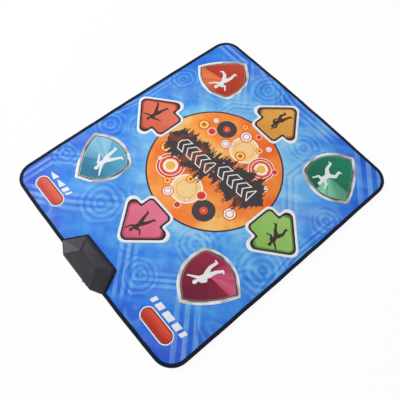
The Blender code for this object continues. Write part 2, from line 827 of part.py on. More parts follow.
def upper_shell(material, box):
    """The upper half of the box: a roof with a lip that clamps the mat, screw bosses and side openings."""
    bm = bmesh.new()
    roof_body(bm, 0.0, 0.0, SEAM_Z)
    edges = [edge for edge in bm.edges if max(vertex.co.z for vertex in edge.verts) > SEAM_Z + GAP]
    bmesh.ops.bevel(bm, geom=edges, offset=SHELL_BEVEL, segments=2, profile=0.5, affect="EDGES")
    shell = solid("upper_shell", bm, material, box)
    bm = bmesh.new()
    roof_body(bm, UPPER_WALL, ROOF_THICKNESS, LIP_TOP)
    hollow = tool("upper_hollow", bm, box)
    bm = bmesh.new()
    add_prism(bm, box_outline(-LIP_WIDTH, -OPENING_WALL), SEAM_Z - CUT_MARGIN, LIP_TOP + GAP)
    join(hollow, tool("upper_opening", bm, box))
    bm = bmesh.new()
    for x, y in screw_places():
        boss = SCREW_RADIUS + SCREW_HOLE_GAP + BOSS_WALL
        add_turned(bm, x, y, [(boss, SEAM_Z), (boss, RIDGE_TOP + CUT_MARGIN)])
    cut(hollow, tool("upper_bosses", bm, box))
    cut(shell, hollow)
    bm = bmesh.new()
    for x, y in screw_places():
        pilot = SCREW_RADIUS + SCREW_HOLE_GAP
        add_turned(bm, x, y, [(pilot, 0.0), (pilot, SCREW_TOP + SCREW_TIP_GAP)])
    cut(shell, tool("upper_pilots", bm, box))
    bm = bmesh.new()
    add_on_slope(bm, grown(panel_corners(), GAP), PANEL_PROUD - PANEL_THICKNESS - GAP, CUT_MARGIN)
    cut(shell, tool("panel_recess", bm, box))
    bm = bmesh.new()
    wall_inside = BOX_OVERHANG - 2 * CUT_MARGIN
    low, high = knob_slot_x(KNOB_GAP)
    top = KNOB_Z + KNOB_HEIGHT / 2 + KNOB_GAP
    add_box(bm, low, high, wall_inside, BOX_OVERHANG + CUT_MARGIN, SEAM_Z - GAP, top)
    cut(shell, tool("knob_slot", bm, box))
    bm = bmesh.new()
    radius = SOCKET_BARREL_RADIUS + SOCKET_SLOT_GAP
    arch = [(radius, SEAM_Z - GAP)]
    for step in range(ROUND_SEGMENTS // 2 + 1):
        angle = 2 * math.pi * step / ROUND_SEGMENTS
        arch.append((radius * math.cos(angle), SOCKET_Z + radius * math.sin(angle)))
    arch.append((-radius, SEAM_Z - GAP))
    add_prism(bm, arch, wall_inside, BOX_OVERHANG + CUT_MARGIN)
    along_y(bm)
    bmesh.ops.translate(bm, vec=(SOCKET_X, 0.0, 0.0), verts=bm.verts[:])
    cut(shell, tool("socket_slot", bm, box))


def post_places():
    """Where the two board posts stand, at opposite corners of the board."""
    near = (BOARD_X + POST_MARGIN, BOARD_Y + POST_MARGIN)
    far = (BOARD_X + BOARD_WIDTH - POST_MARGIN, BOARD_Y + BOARD_DEPTH - POST_MARGIN)
    return [near, far]


def edge_x(edge, inset, y):
    """Where an edge of the box, moved in, crosses this y."""
    corners = grown(box_corners(), -inset)
    x0, y0, _ = corners[edge]
    x1, y1, _ = corners[(edge + 1) % len(corners)]
    return x0 + (y - y0) * (x1 - x0) / (y1 - y0)


def add_ears(bm):
    """Adds the two wedges that close the box's ends beside the mat's edge."""
    sink = LOWER_WALL_SETBACK + EAR_SINK
    depth = LOWER_WALL_BACK + LOWER_WALL / 2
    apex = box_outline(-depth, -sink)[2]
    right = [(edge_x(1, depth, WINDOW_GAP), WINDOW_GAP), (edge_x(2, sink, WINDOW_GAP), WINDOW_GAP), apex[:2]]
    left = [(-x, y) for x, y in reversed(right)]
    for outline in (right, left):
        add_prism(bm, outline, FLANGE_THICKNESS / 2, LOWER_WALL_TOP - EAR_SINK)


def lower_shell(material, box):
    """The lower half: a flange under the mat, a wall, screw bosses, board posts and the battery bay."""
    back = -LOWER_WALL_BACK
    side = -LOWER_WALL_SETBACK
    loops = [
        at_height(box_outline(0.0, 0.0), 0.0),
        at_height(box_outline(0.0, 0.0), FLANGE_THICKNESS),
        at_height(box_outline(back, side), FLANGE_THICKNESS),
        at_height(box_outline(back, side), LOWER_WALL_TOP),
        at_height(box_outline(back - LOWER_WALL, side - LOWER_WALL), LOWER_WALL_TOP),
        at_height(box_outline(back - LOWER_WALL, side - LOWER_WALL), FLOOR_THICKNESS),
    ]
    bm = bmesh.new()
    add_loft(bm, loops)
    shell = solid("lower_shell", bm, material, box)
    root = FLOOR_THICKNESS / 2
    bm = bmesh.new()
    add_ears(bm)
    join(shell, tool("lower_ears", bm, box))
    bm = bmesh.new()
    for x, y in screw_places():
        add_turned(bm, x, y, [(LOWER_BOSS_RADIUS, root), (LOWER_BOSS_RADIUS, LOWER_WALL_TOP)])
    for x, y in post_places():
        add_turned(bm, x, y, [(POST_RADIUS, root), (POST_RADIUS, BOARD_BOTTOM - GAP)])
    join(shell, tool("lower_bosses", bm, box))
    bay_end_x = BAY_X + BAY_LENGTH
    bay_end_y = BAY_Y + BAY_DEPTH
    bm = bmesh.new()
    inside = [(BAY_X, BAY_Y), (bay_end_x, BAY_Y), (bay_end_x, bay_end_y), (BAY_X, bay_end_y)]
    outside = grown([(x, y, 0.0) for x, y in inside], BAY_WALL)
    section = [(outside, root), (outside, BAY_HEIGHT), (inside, BAY_HEIGHT), (inside, root)]
    add_loft(bm, [at_height(outline, z) for outline, z in section], ring=True)
    join(shell, tool("bay_frame", bm, box))
    bm = bmesh.new()
    head_hole = SCREW_HEAD_RADIUS + SCREW_HEAD_GAP
    hole = SCREW_RADIUS + SCREW_HOLE_GAP
    seat = SCREW_HEAD_BOTTOM + SCREW_HEAD_HEIGHT + GAP
    through = LOWER_WALL_TOP + CUT_MARGIN
    for x, y in screw_places():
        profile = [(head_hole, -CUT_MARGIN), (head_hole, seat), (hole, seat), (hole, through)]
        add_turned(bm, x, y, profile)
    for x, y in post_places():
        pilot = BOARD_SCREW_RADIUS + BOARD_SCREW_GAP
        add_turned(bm, x, y, [(pilot, POST_PILOT_BOTTOM), (pilot, BOARD_BOTTOM + CUT_MARGIN)])
    cut(shell, tool("lower_holes", bm, box))
    bm = bmesh.new()
    add_box(
        bm,
        BAY_X + DOOR_LEDGE,
        bay_end_x - DOOR_LEDGE,
        BAY_Y + GAP,
        bay_end_y - DOOR_LEDGE,
        -CUT_MARGIN,
        FLOOR_THICKNESS + GAP,
    )
    cut(shell, tool("door_opening", bm, box))
    bm = bmesh.new()
    pin_reach = PIN_LENGTH + PIN_GAP + DOOR_GAP
    ends = (
        (BAY_X + DOOR_LEDGE + DOOR_GAP - pin_reach, BAY_X + DOOR_LEDGE + DOOR_GAP),
        (bay_end_x - DOOR_LEDGE - DOOR_GAP, bay_end_x - DOOR_LEDGE - DOOR_GAP + pin_reach),
    )
    for x0, x1 in ends:
        before = len(bm.verts)
        add_turned(bm, HINGE_Y, HINGE_Z, [(PIN_RADIUS + PIN_GAP, x0), (PIN_RADIUS + PIN_GAP, x1)])
        along_x(bm, before)
    cut(shell, tool("pin_holes", bm, box))
    bm = bmesh.new()
    half = TAIL_WIDTH / 2 + TAIL_SIDE_GAP
    wall_y = -BOX_REACH + LOWER_WALL_BACK
    add_box(
        bm,
        TAIL_X - half,
        TAIL_X + half,
        wall_y - LOWER_WALL,
        wall_y + 2 * LOWER_WALL,
        LOWER_FILM_Z - 2 * GAP,
        LOWER_WALL_TOP + CUT_MARGIN,
    )
    cut(shell, tool("tail_slot", bm, box))


def case_screws(material, box):
    """The four screws that hold the two halves together, driven from below."""
    bottom = SCREW_HEAD_BOTTOM
    shoulder = bottom + SCREW_HEAD_HEIGHT
    profile = [
        (SCREW_DRIVE_RADIUS, bottom + SCREW_DRIVE_DEPTH),
        (SCREW_DRIVE_RADIUS, bottom),
        (SCREW_HEAD_RADIUS, bottom),
        (SCREW_HEAD_RADIUS, shoulder),
        (SCREW_RADIUS, shoulder),
        (SCREW_RADIUS, SCREW_TOP),
    ]
    for number, (x, y) in enumerate(screw_places(), 1):
        bm = bmesh.new()
        add_turned(bm, x, y, profile)
        solid(f"case_screw_{number}", bm, material, box)


def circuit_board(material, box):
    """The board on its two posts."""
    bm = bmesh.new()
    add_box(bm, BOARD_X, BOARD_X + BOARD_WIDTH, BOARD_Y, BOARD_Y + BOARD_DEPTH, BOARD_BOTTOM, BOARD_TOP)
    board = solid("circuit_board", bm, material, box)
    bm = bmesh.new()
    hole = BOARD_SCREW_RADIUS + BOARD_SCREW_GAP
    for x, y in post_places():
        add_turned(bm, x, y, [(hole, BOARD_BOTTOM - CUT_MARGIN), (hole, BOARD_TOP + CUT_MARGIN)])
    cut(board, tool("board_holes", bm, box))


def board_screws(material, box):
    """The two screws that hold the board on its posts."""
    head_top = PART_Z + BOARD_SCREW_HEAD_HEIGHT
    profile = [
        (BOARD_SCREW_RADIUS, POST_PILOT_BOTTOM + GAP),
        (BOARD_SCREW_RADIUS, PART_Z),
        (BOARD_SCREW_HEAD_RADIUS, PART_Z),
        (BOARD_SCREW_HEAD_RADIUS, head_top - GAP),
        (BOARD_SCREW_HEAD_RADIUS - GAP, head_top),
    ]
    for number, (x, y) in enumerate(post_places(), 1):
        bm = bmesh.new()
        add_turned(bm, x, y, profile)
        solid(f"board_screw_{number}", bm, material, box)


def board_parts(plastic, metal, sleeve, box):
    """The controller chip, the crystal and the capacitor."""
    bm = bmesh.new()
    x0 = CHIP_X - CHIP_SIDE / 2
    y0 = BOARD_Y + CHIP_Y - CHIP_SIDE / 2
    add_box(bm, x0, x0 + CHIP_SIDE, y0, y0 + CHIP_SIDE, PART_Z, PART_Z + CHIP_HEIGHT)
    solid("controller_chip", bm, plastic, box)
    bm = bmesh.new()
    corners = rectangle_corners(CRYSTAL_LENGTH, CRYSTAL_WIDTH, CRYSTAL_WIDTH / 2 - GAP)
    add_prism(bm, rounded(corners), PART_Z, PART_Z + CRYSTAL_HEIGHT)
    bmesh.ops.translate(bm, vec=(CRYSTAL_X, BOARD_Y + CRYSTAL_Y, 0.0), verts=bm.verts[:])
    solid("crystal", bm, metal, box)
    bm = bmesh.new()
    top = PART_Z + CAPACITOR_HEIGHT
    rim = CAPACITOR_RADIUS - GAP
    profile = [(CAPACITOR_RADIUS, PART_Z), (CAPACITOR_RADIUS, top - GAP), (rim, top)]
    add_turned(bm, CAPACITOR_X, BOARD_Y + CAPACITOR_Y, profile)
    solid("capacitor", bm, sleeve, box)


def film_connector(material, box):
    """The connector that takes the film tail, with its slot towards the mat."""
    low = BOARD_Y + CONNECTOR_MARGIN
    bm = bmesh.new()
    half = CONNECTOR_WIDTH / 2
    add_box(bm, TAIL_X - half, TAIL_X + half, low, low + CONNECTOR_DEPTH, PART_Z, PART_Z + CONNECTOR_HEIGHT)
    body = solid("film_connector", bm, material, box)
    bm = bmesh.new()
    half = CONNECTOR_SLOT_WIDTH / 2
    middle = PART_Z + CONNECTOR_SLOT_UP
    add_box(
        bm,
        TAIL_X - half,
        TAIL_X + half,
        low - CUT_MARGIN,
        low + CONNECTOR_SLOT_DEPTH,
        middle - CONNECTOR_SLOT_HEIGHT / 2,
        middle + CONNECTOR_SLOT_HEIGHT / 2,
    )
    cut(body, tool("connector_slot", bm, box))


def film_tail(material, box):
    """The films' tail, which climbs from the mat over the box's wall into the connector."""
    start_y = -BOX_REACH + MAT_TUCK + GAP
    start_z = LOWER_FILM_Z + FILM_THICKNESS / 2
    mouth = BOARD_Y + CONNECTOR_MARGIN
    end_z = PART_Z + CONNECTOR_SLOT_UP
    wall_inside = -BOX_REACH + LOWER_WALL_BACK + 2 * LOWER_WALL
    path = [
        (start_y, start_z),
        (wall_inside, start_z),
        ((wall_inside + mouth) / 2, (start_z + end_z) / 2),
        (mouth - LOWER_WALL, end_z),
        (mouth + TAIL_PLUG_DEPTH, end_z),
    ]
    low = [(y, z - FILM_THICKNESS / 2) for y, z in path]
    high = [(y, z + FILM_THICKNESS / 2) for y, z in reversed(path)]
    bm = bmesh.new()
    add_prism(bm, low + high, TAIL_X - TAIL_WIDTH / 2, TAIL_X + TAIL_WIDTH / 2)
    along_x(bm)
    solid("film_tail", bm, material, box)


def slide_switch(body_finish, knob_finish, box):
    """The switch on the board and its knob, which slides along the box's outer side."""
    back = BOX_OVERHANG - BOARD_SETBACK - SWITCH_SETBACK
    half = SWITCH_WIDTH / 2
    bm = bmesh.new()
    add_box(bm, SWITCH_X - half, SWITCH_X + half, back - SWITCH_DEPTH, back, PART_Z, PART_Z + SWITCH_HEIGHT)
    body = solid("switch_body", bm, body_finish, box)
    low, high = knob_slot_x(KNOB_GAP)
    root = back - KNOB_ROOT
    bottom = KNOB_Z - KNOB_HEIGHT / 2
    top = KNOB_Z + KNOB_HEIGHT / 2
    bm = bmesh.new()
    add_box(bm, low, high, root - KNOB_GAP, back + CUT_MARGIN, bottom - GAP, top + GAP)
    cut(body, tool("switch_slot", bm, box))
    carrier = empty("switch_slide", (SWITCH_X - SWITCH_TRAVEL / 2, back, KNOB_Z), parent=box)
    wide = KNOB_WIDTH / 2 + KNOB_CAP_MARGIN
    cap = BOX_OVERHANG + KNOB_CAP_GAP - back
    bm = bmesh.new()
    add_box(bm, -KNOB_WIDTH / 2, KNOB_WIDTH / 2, -KNOB_ROOT, cap + GAP, -KNOB_HEIGHT / 2, KNOB_HEIGHT / 2)
    knob = solid("switch_knob", bm, knob_finish, carrier)
    bm = bmesh.new()
    tall = KNOB_HEIGHT / 2 + GAP
    add_box(bm, -wide, wide, cap, cap + KNOB_CAP_DEPTH, -tall, tall)
    join(knob, tool("knob_cap", bm, carrier))


def av_socket(material, box):
    """The round socket that a cord plugs into, reached through the box's outer side."""
    back = BOX_OVERHANG - BOARD_SETBACK - SOCKET_SETBACK
    half = SOCKET_WIDTH / 2
    mouth = BOX_OVERHANG + SOCKET_PROUD
    bm = bmesh.new()
    add_box(bm, SOCKET_X - half, SOCKET_X + half, back - SOCKET_DEPTH, back, PART_Z, PART_Z + SOCKET_HEIGHT)
    body = solid("av_socket", bm, material, box)
    bm = bmesh.new()
    add_turned(bm, -SOCKET_X, SOCKET_Z, [(SOCKET_BARREL_RADIUS, back - GAP), (SOCKET_BARREL_RADIUS, mouth)])
    along_y(bm)
    join(body, tool("socket_barrel", bm, box))
    bm = bmesh.new()
    bore = [(SOCKET_BORE_RADIUS, mouth - SOCKET_BORE_DEPTH), (SOCKET_BORE_RADIUS, mouth + CUT_MARGIN)]
    add_turned(bm, -SOCKET_X, SOCKET_Z, bore)
    along_y(bm)
    cut(body, tool("socket_bore", bm, box))


def cell_rows():
    """The y of each cell's axis, and which way its nub points."""
    return [
        (BAY_Y + CELL_SIDE_GAP + CELL_RADIUS + index * CELL_PITCH, 1 if index % 2 == 0 else -1)
        for index in range(3)
    ]


def along_bay(distance, way):
    """The x at a distance from the spring's end of the bay, for a cell whose nub points this way."""
    return BAY_X + distance if way > 0 else BAY_X + BAY_LENGTH - distance


def battery_cells(material, box):
    """The three cells, laid head to tail."""
    start = PLATE_THICKNESS + SPRING_LENGTH + 3 * GAP
    shoulder = start + CELL_LENGTH
    profile = [
        (CELL_RADIUS - GAP, start),
        (CELL_RADIUS, start + GAP),
        (CELL_RADIUS, shoulder - GAP),
        (CELL_RADIUS - GAP, shoulder),
        (CELL_NUB_RADIUS, shoulder),
        (CELL_NUB_RADIUS, shoulder + CELL_NUB_LENGTH),
    ]
    for number, (y, way) in enumerate(cell_rows(), 1):
        bm = bmesh.new()
        add_turned(bm, y, CELL_Z, [(radius, along_bay(distance, way)) for radius, distance in profile])
        along_x(bm)
        solid(f"battery_cell_{number}", bm, material, box)


def battery_springs(material, box):
    """The coil spring behind each cell."""
    start = PLATE_THICKNESS + 2 * GAP + SPRING_WIRE
    run = SPRING_LENGTH - 2 * SPRING_WIRE
    steps = 36
    for number, (y, way) in enumerate(cell_rows(), 1):
        curve = bpy.data.curves.new(f"battery_spring_{number}", "CURVE")
        curve.dimensions = "3D"
        curve.bevel_depth = SPRING_WIRE
        curve.bevel_resolution = 0
        curve.use_fill_caps = True
        spline = curve.splines.new("POLY")
        spline.points.add(steps)
        for index, point in enumerate(spline.points):
            share = index / steps
            angle = 2 * math.pi * SPRING_TURNS * share
            x = along_bay(start + run * share, way)
            place = (x, y + SPRING_RADIUS * math.cos(angle), CELL_Z + SPRING_RADIUS * math.sin(angle))
            point.co = (*place, 1.0)
        shown(f"battery_spring_{number}", curve, material, box)


def contact_plates(material, box):
    """The four plates at the bay's ends, two of which bridge a pair of cells."""
    rows = [y for y, _ in cell_rows()]
    half = PLATE_WIDTH / 2
    spans = (
        (-1, rows[0] - half, rows[1] + half),
        (-1, rows[2] - half, rows[2] + half),
        (1, rows[0] - half, rows[0] + half),
        (1, rows[1] - half, rows[2] + half),
    )
    for number, (end, y0, y1) in enumerate(spans, 1):
        inner = PLATE_THICKNESS + GAP
        x0 = BAY_X + GAP if end < 0 else BAY_X + BAY_LENGTH - inner
        bm = bmesh.new()
        add_box(bm, x0, x0 + PLATE_THICKNESS, y0, y1, PLATE_BOTTOM, BAY_HEIGHT)
        solid(f"contact_plate_{number}", bm, material, box)


def battery_door(material, box):
    """The door under the cells, on a knuckle with a stub pin at each end."""
    carrier = empty("door_hinge", (0.0, HINGE_Y, HINGE_Z), parent=box)
    x0 = BAY_X + DOOR_LEDGE + DOOR_GAP
    x1 = BAY_X + BAY_LENGTH - DOOR_LEDGE - DOOR_GAP
    far = BAY_Y + BAY_DEPTH - DOOR_LEDGE - DOOR_GAP - HINGE_Y
    half = (DOOR_TOP - DOOR_BOTTOM) / 2
    bm = bmesh.new()
    profile = [
        (PIN_RADIUS, x0 - PIN_LENGTH),
        (PIN_RADIUS, x0),
        (KNUCKLE_RADIUS, x0),
        (KNUCKLE_RADIUS, x1),
        (PIN_RADIUS, x1),
        (PIN_RADIUS, x1 + PIN_LENGTH),
    ]
    add_turned(bm, 0.0, 0.0, profile)
    along_x(bm)
    door = solid("battery_door", bm, material, carrier)
    bm = bmesh.new()
    add_box(bm, x0 + EAR_SINK, x1 - EAR_SINK, 0.0, far, -half, half)
    join(door, tool("door_plate", bm, carrier))


def top_panel(material, box):
    """The thin inlay on the sloping top of the box."""
    bm = bmesh.new()
    add_on_slope(bm, panel_corners(), PANEL_PROUD - PANEL_THICKNESS, PANEL_PROUD)
    solid("top_panel", bm, material, box)


def build_mat(all_zones):
    """The soft layers, the pads and the tape."""
    clearance, notch = box_tools()
    vinyl = finish("printed_vinyl", colour(80, 140, 230), 0.45)
    foam = finish("foam", colour(215, 215, 210), 0.9)
    film = finish("contact_film", colour(200, 205, 215), 0.35)
    patch_finish = finish("contact_patch", colour(70, 70, 75), 0.5)
    base_sheet(finish("anti_slip", colour(45, 45, 48), 0.8), clearance)
    foam_core(foam, notch)
    lower_film(film, notch, all_zones)
    wide = PATCH_MARGIN + PATCH_GAP
    windowed_layer("spacer_foam", foam, notch, all_zones, wide, SPACER_Z, SPACER_THICKNESS)
    windowed_layer("upper_film", film, notch, all_zones, wide, UPPER_FILM_Z, FILM_THICKNESS)
    windowed_layer("cover_sheet", vinyl, notch, all_zones, WINDOW_GAP, COVER_Z, COVER_THICKNESS)
    edge_binding(finish("edge_tape", colour(20, 22, 28), 0.6), clearance)
    press_zones(all_zones, patch_finish)


def build_box():
    """The control box and what it holds."""
    box = empty("control_box", (0.0, EDGE_Y, 0.0))
    shell_finish = finish("box_plastic", colour(72, 70, 76), 0.4)
    dark_plastic = finish("dark_plastic", colour(35, 35, 38), 0.45)
    steel = finish("steel", colour(170, 170, 172), 0.35, 1.0)
    plated = finish("plated_contact", colour(190, 190, 185), 0.3, 1.0)
    upper_shell(shell_finish, box)
    lower_shell(finish("floor_plastic", colour(50, 50, 54), 0.5), box)
    case_screws(steel, box)
    circuit_board(finish("board", colour(30, 95, 60), 0.5), box)
    board_screws(steel, box)
    board_parts(dark_plastic, plated, finish("sleeve", colour(35, 45, 85), 0.4), box)
    film_connector(finish("connector_plastic", colour(225, 222, 210), 0.5), box)
    film_tail(finish("tail_film", colour(205, 210, 220), 0.35), box)
    slide_switch(dark_plastic, finish("knob_plastic", colour(28, 28, 30), 0.4), box)
    av_socket(finish("socket_plastic", colour(25, 25, 27), 0.4), box)
    battery_cells(finish("cell_sleeve", colour(60, 110, 70), 0.4), box)
    battery_springs(plated, box)
    contact_plates(plated, box)
    battery_door(finish("door_plastic", colour(52, 52, 56), 0.5), box)
    top_panel(finish("inlay", colour(70, 72, 70), 0.35), box)


def main():
    """Builds the whole dance mat."""
    clear_scene()
    build_mat(zones())
    build_box()


if __name__ == "__main__":
    main()
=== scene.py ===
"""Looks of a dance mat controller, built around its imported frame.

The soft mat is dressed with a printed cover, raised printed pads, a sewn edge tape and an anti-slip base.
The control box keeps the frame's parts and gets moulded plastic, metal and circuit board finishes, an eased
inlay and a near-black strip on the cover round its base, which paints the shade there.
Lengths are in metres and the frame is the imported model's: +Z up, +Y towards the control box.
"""

import json
import logging
import math
from dataclasses import dataclass
from enum import Enum, IntEnum

import bmesh
import bpy
from mathutils import Matrix, Vector


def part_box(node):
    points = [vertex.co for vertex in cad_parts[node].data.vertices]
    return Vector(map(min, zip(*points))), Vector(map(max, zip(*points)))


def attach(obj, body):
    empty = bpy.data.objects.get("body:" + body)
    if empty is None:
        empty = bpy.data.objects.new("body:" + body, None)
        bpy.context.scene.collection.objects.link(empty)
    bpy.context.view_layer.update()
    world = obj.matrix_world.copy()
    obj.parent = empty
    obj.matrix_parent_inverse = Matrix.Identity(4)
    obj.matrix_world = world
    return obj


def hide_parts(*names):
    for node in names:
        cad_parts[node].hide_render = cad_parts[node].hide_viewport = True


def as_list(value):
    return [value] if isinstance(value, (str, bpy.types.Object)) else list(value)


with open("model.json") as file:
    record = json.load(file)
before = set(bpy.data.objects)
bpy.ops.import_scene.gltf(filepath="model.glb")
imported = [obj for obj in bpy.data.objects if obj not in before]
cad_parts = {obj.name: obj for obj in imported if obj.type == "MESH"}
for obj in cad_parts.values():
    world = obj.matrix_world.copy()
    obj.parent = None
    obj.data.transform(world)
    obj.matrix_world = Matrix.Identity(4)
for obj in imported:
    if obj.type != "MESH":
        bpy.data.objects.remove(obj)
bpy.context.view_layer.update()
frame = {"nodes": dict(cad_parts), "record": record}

log = logging.getLogger("dance_mat")

# Mat outline
MAT_WIDTH = 0.798
MAT_DEPTH = 0.930
MAT_CORNER_RADIUS = 0.062
SIDE_BOW = 0.003
END_BOW = 0.0065
BOW_SHARE = 0.8

# Heights of the mat's layers
COVER_BOTTOM = 0.0075
COVER_TOP = 0.0082
PAD_TOP = 0.0086
TAPE_TOP = 0.0092

# Swell of the soft mat, which lifts its printed top in long low waves
SWELL_HEIGHT = 0.0009
SWELL_FADE = 0.07
SWELL_MARGIN = 0.012
SWELL_MEAN = 0.5
GRID_PITCH = 0.022

# The waves of the swell: direction x and y, length, phase and share
SWELL_WAVES = (
    (0.83, 0.56, 0.236, 0.8, 0.27),
    (-0.42, 0.91, 0.191, 2.1, 0.23),
)

# Half the thickness of a print that stands on a surface, and the soft edge of a printed disc
PRINT_HALF = 0.0001
DISC_SOFTNESS = 0.0006

# Control box outline, about the middle of the mat's far edge
BOX_END_HALF = 0.107
BOX_INNER_HALF = 0.0705
BOX_OUTER_HALF = 0.066
BOX_REACH = 0.0715
BOX_END_BACK = 0.004
BOX_OVERHANG = 0.019
BOX_GAP = 0.0005

# Heights between which a form cuts right through the mat's edge
CUT_LOW = -0.01
CUT_HIGH = 0.03

# Shaping
FILLET_STEPS = 8
LEAST_RADIUS = 0.0004
MERGE_DISTANCE = 1e-6
HAIR = 0.00001

# Camera, solved from the mat's corners in the photograph
CAMERA_PLACE = (-0.51057, 0.4845, 1.29455)
CAMERA_FORWARD = (0.31923, -0.29705, -0.89992)
CAMERA_UP = (0.69196, -0.57578, 0.43552)
CAMERA_LENS = 41.24

# Floor and world. The floor lies a little under the mat, so that the two faces never meet.
FLOOR_HALF = 12.0
FLOOR_GAP = 0.0002
FLOOR_TONE = 0.86
FLOOR_GLOW = 0.94
WORLD_STRENGTH = 0.32

ORIGIN = (0.0, 0.0, 0.0)

Colour = tuple[float, float, float, float]
Spot = tuple[float, float]

# Tones across a bundle of rails, from one side to the other: 0.5 leaves the ground as it is
STRIPES = (
    (0.00, 0.50),
    (0.03, 0.86),
    (0.21, 0.78),
    (0.25, 0.18),
    (0.38, 0.26),
    (0.42, 0.94),
    (0.58, 0.86),
    (0.62, 0.14),
    (0.74, 0.24),
    (0.78, 0.80),
    (0.96, 0.88),
    (1.00, 0.50),
)

# Strengths of a shield's rays, from one side of the fan to the other
RAYS = (
    (0.00, 0.0),
    (0.03, 0.62),
    (0.24, 0.95),
    (0.40, 0.46),
    (0.44, 0.78),
    (0.70, 0.42),
    (0.96, 0.26),
    (1.00, 0.0),
)


def srgb(red: float, green: float, blue: float) -> Colour:
    """Linear colour of an sRGB colour given in 0 to 255."""
    red, green, blue = (((value / 255 + 0.055) / 1.055) ** 2.4 for value in (red, green, blue))
    return red, green, blue, 1.0


def grey(tone: float) -> Colour:
    """A plain grey of a linear tone."""
    return tone, tone, tone, 1.0


def toned(colour: Colour, factor: float, lift: float = 0.0) -> Colour:
    """A colour made darker or paler by a factor, and lifted a little."""
    red, green, blue = (min(1.0, value * factor + lift) for value in colour[:3])
    return red, green, blue, 1.0


class Graph:
    """A shader node tree that is being built."""

    def __init__(self, tree: bpy.types.NodeTree) -> None:
        """Starts on the tree of a material or a group."""
        self.tree = tree

    def node(self, kind: str, **settings: object) -> bpy.types.Node:
        """Adds a node.

        Args:
            kind: The node's full type name.
            settings: Properties to set on it.

        Returns:
            The new node.
        """
        node = self.tree.nodes.new(kind)
        for name, value in settings.items():
            setattr(node, name, value)
        return node

    def feed(self, socket: bpy.types.NodeSocket, value: object) -> None:
        """Links an output to a socket, or sets the socket's value.

        Args:
            socket: The input.
            value: An output socket, or a plain value.
        """
        if isinstance(value, bpy.types.NodeSocket):
            self.tree.links.new(value, socket)
        else:
            socket.default_value = value

    def math(self, operation: str, *values: object) -> bpy.types.NodeSocket:
        """Works out a sum, product or other function of values.

        Args:
            operation: The function, by Blender's name.
            values: What it works on, in order: output sockets or numbers.

        Returns:
            The result.
        """
        node = self.node("ShaderNodeMath", operation=operation)
        for socket, value in zip(node.inputs, values):
            self.feed(socket, value)
        return node.outputs[0]

    def vector(self, operation: str, *values: object) -> bpy.types.Node:
        """Adds a node that works on vectors.

        Args:
            operation: The function, by Blender's name.
            values: What it works on, in order: output sockets or vectors.

        Returns:
            The node, which has an output for a vector and one for a number.
        """
        node = self.node("ShaderNodeVectorMath", operation=operation)
        for socket, value in zip(node.inputs, values):
            self.feed(socket, value)
        return node

    def flat(self, vector: object) -> bpy.types.NodeSocket:
        """A vector without its height."""
        return self.vector("MULTIPLY", vector, (1.0, 1.0, 0.0)).outputs[0]

    def axes(self, vector: object) -> tuple[bpy.types.NodeSocket, bpy.types.NodeSocket]:
        """Splits a vector.

        Args:
            vector: The vector.

        Returns:
            Its x and its y.
        """
        parts = self.node("ShaderNodeSeparateXYZ")
        self.feed(parts.inputs[0], vector)
        return parts.outputs["X"], parts.outputs["Y"]

    def mix(self, share: object, first: object, second: object, blend: str = "MIX") -> bpy.types.NodeSocket:
        """Mixes two colours.

        Args:
            share: The share of the second colour.
            first: The first colour.
            second: The second colour.
            blend: How the second colour is laid over the first.

        Returns:
            The mixed colour.
        """
        node = self.node("ShaderNodeMix", data_type="RGBA", blend_type=blend)
        self.feed(node.inputs[0], share)
        self.feed(node.inputs[6], first)
        self.feed(node.inputs[7], second)
        return node.outputs[2]

    def smooth(self, value: object, low: object, high: object) -> bpy.types.NodeSocket:
        """Steps a value up smoothly.

        Args:
            value: The value.
            low: Where the step starts, at 0.
            high: Where the step ends, at 1.

        Returns:
            The step's height, from 0 to 1.
        """
        node = self.node("ShaderNodeMapRange", interpolation_type="SMOOTHSTEP")
        for socket, number in zip(node.inputs, (value, low, high)):
            self.feed(socket, number)
        return node.outputs[0]

    def fade(self, value: object, low: object, high: object) -> bpy.types.NodeSocket:
        """A smooth step of a value down from 1 at low to 0 at high."""
        return self.math("SUBTRACT", 1.0, self.smooth(value, low, high))

    def ramp(
        self, value: object, stops: list[tuple[float, Colour]], interpolation: str = "LINEAR"
    ) -> bpy.types.NodeSocket:
        """A colour for a value.

        Args:
            value: The place on the ramp, from 0 to 1.
            stops: Places and colours, in order.
            interpolation: How the colours run into each other.

        Returns:
            The colour.
        """
        node = self.node("ShaderNodeValToRGB")
        node.color_ramp.interpolation = interpolation
        elements = node.color_ramp.elements
        elements[0].position = stops[0][0]
        elements[1].position = stops[-1][0]
        for place, _ in stops[1:-1]:
            elements.new(place)
        for element, (_, colour) in zip(elements, stops):
            element.color = colour
        self.feed(node.inputs[0], value)
        return node.outputs[0]

    def disc(self, vector: object, centre: tuple[float, float, float], radius: float) -> bpy.types.NodeSocket:
        """A mask that is 1 on a round place about a centre."""
        return self.use(Groups.disc(), vector, centre, radius, DISC_SOFTNESS).outputs[0]

    def noise(self, vector: object, scale: float, detail: float = 3.0) -> bpy.types.NodeSocket:
        """Makes noise.

        Args:
            vector: The coordinates.
            scale: How fine it is.
            detail: How many finer layers it has.

        Returns:
            The noise, from 0 to 1.
        """
        node = self.node("ShaderNodeTexNoise")
        self.feed(node.inputs["Vector"], vector)
        node.inputs["Scale"].default_value = scale
        node.inputs["Detail"].default_value = detail
        return node.outputs["Fac"]

    def use(self, group: bpy.types.NodeTree, *values: object) -> bpy.types.Node:
        """Places a node group.

        Args:
            group: The group.
            values: What its inputs get, in order.

        Returns:
            The group's node.
        """
        node = self.node("ShaderNodeGroup", node_tree=group)
        for socket, value in zip(node.inputs, values):
            self.feed(socket, value)
        return node

    def place(self) -> bpy.types.NodeSocket:
        """The object coordinates."""
        return self.node("ShaderNodeTexCoord").outputs["Object"]

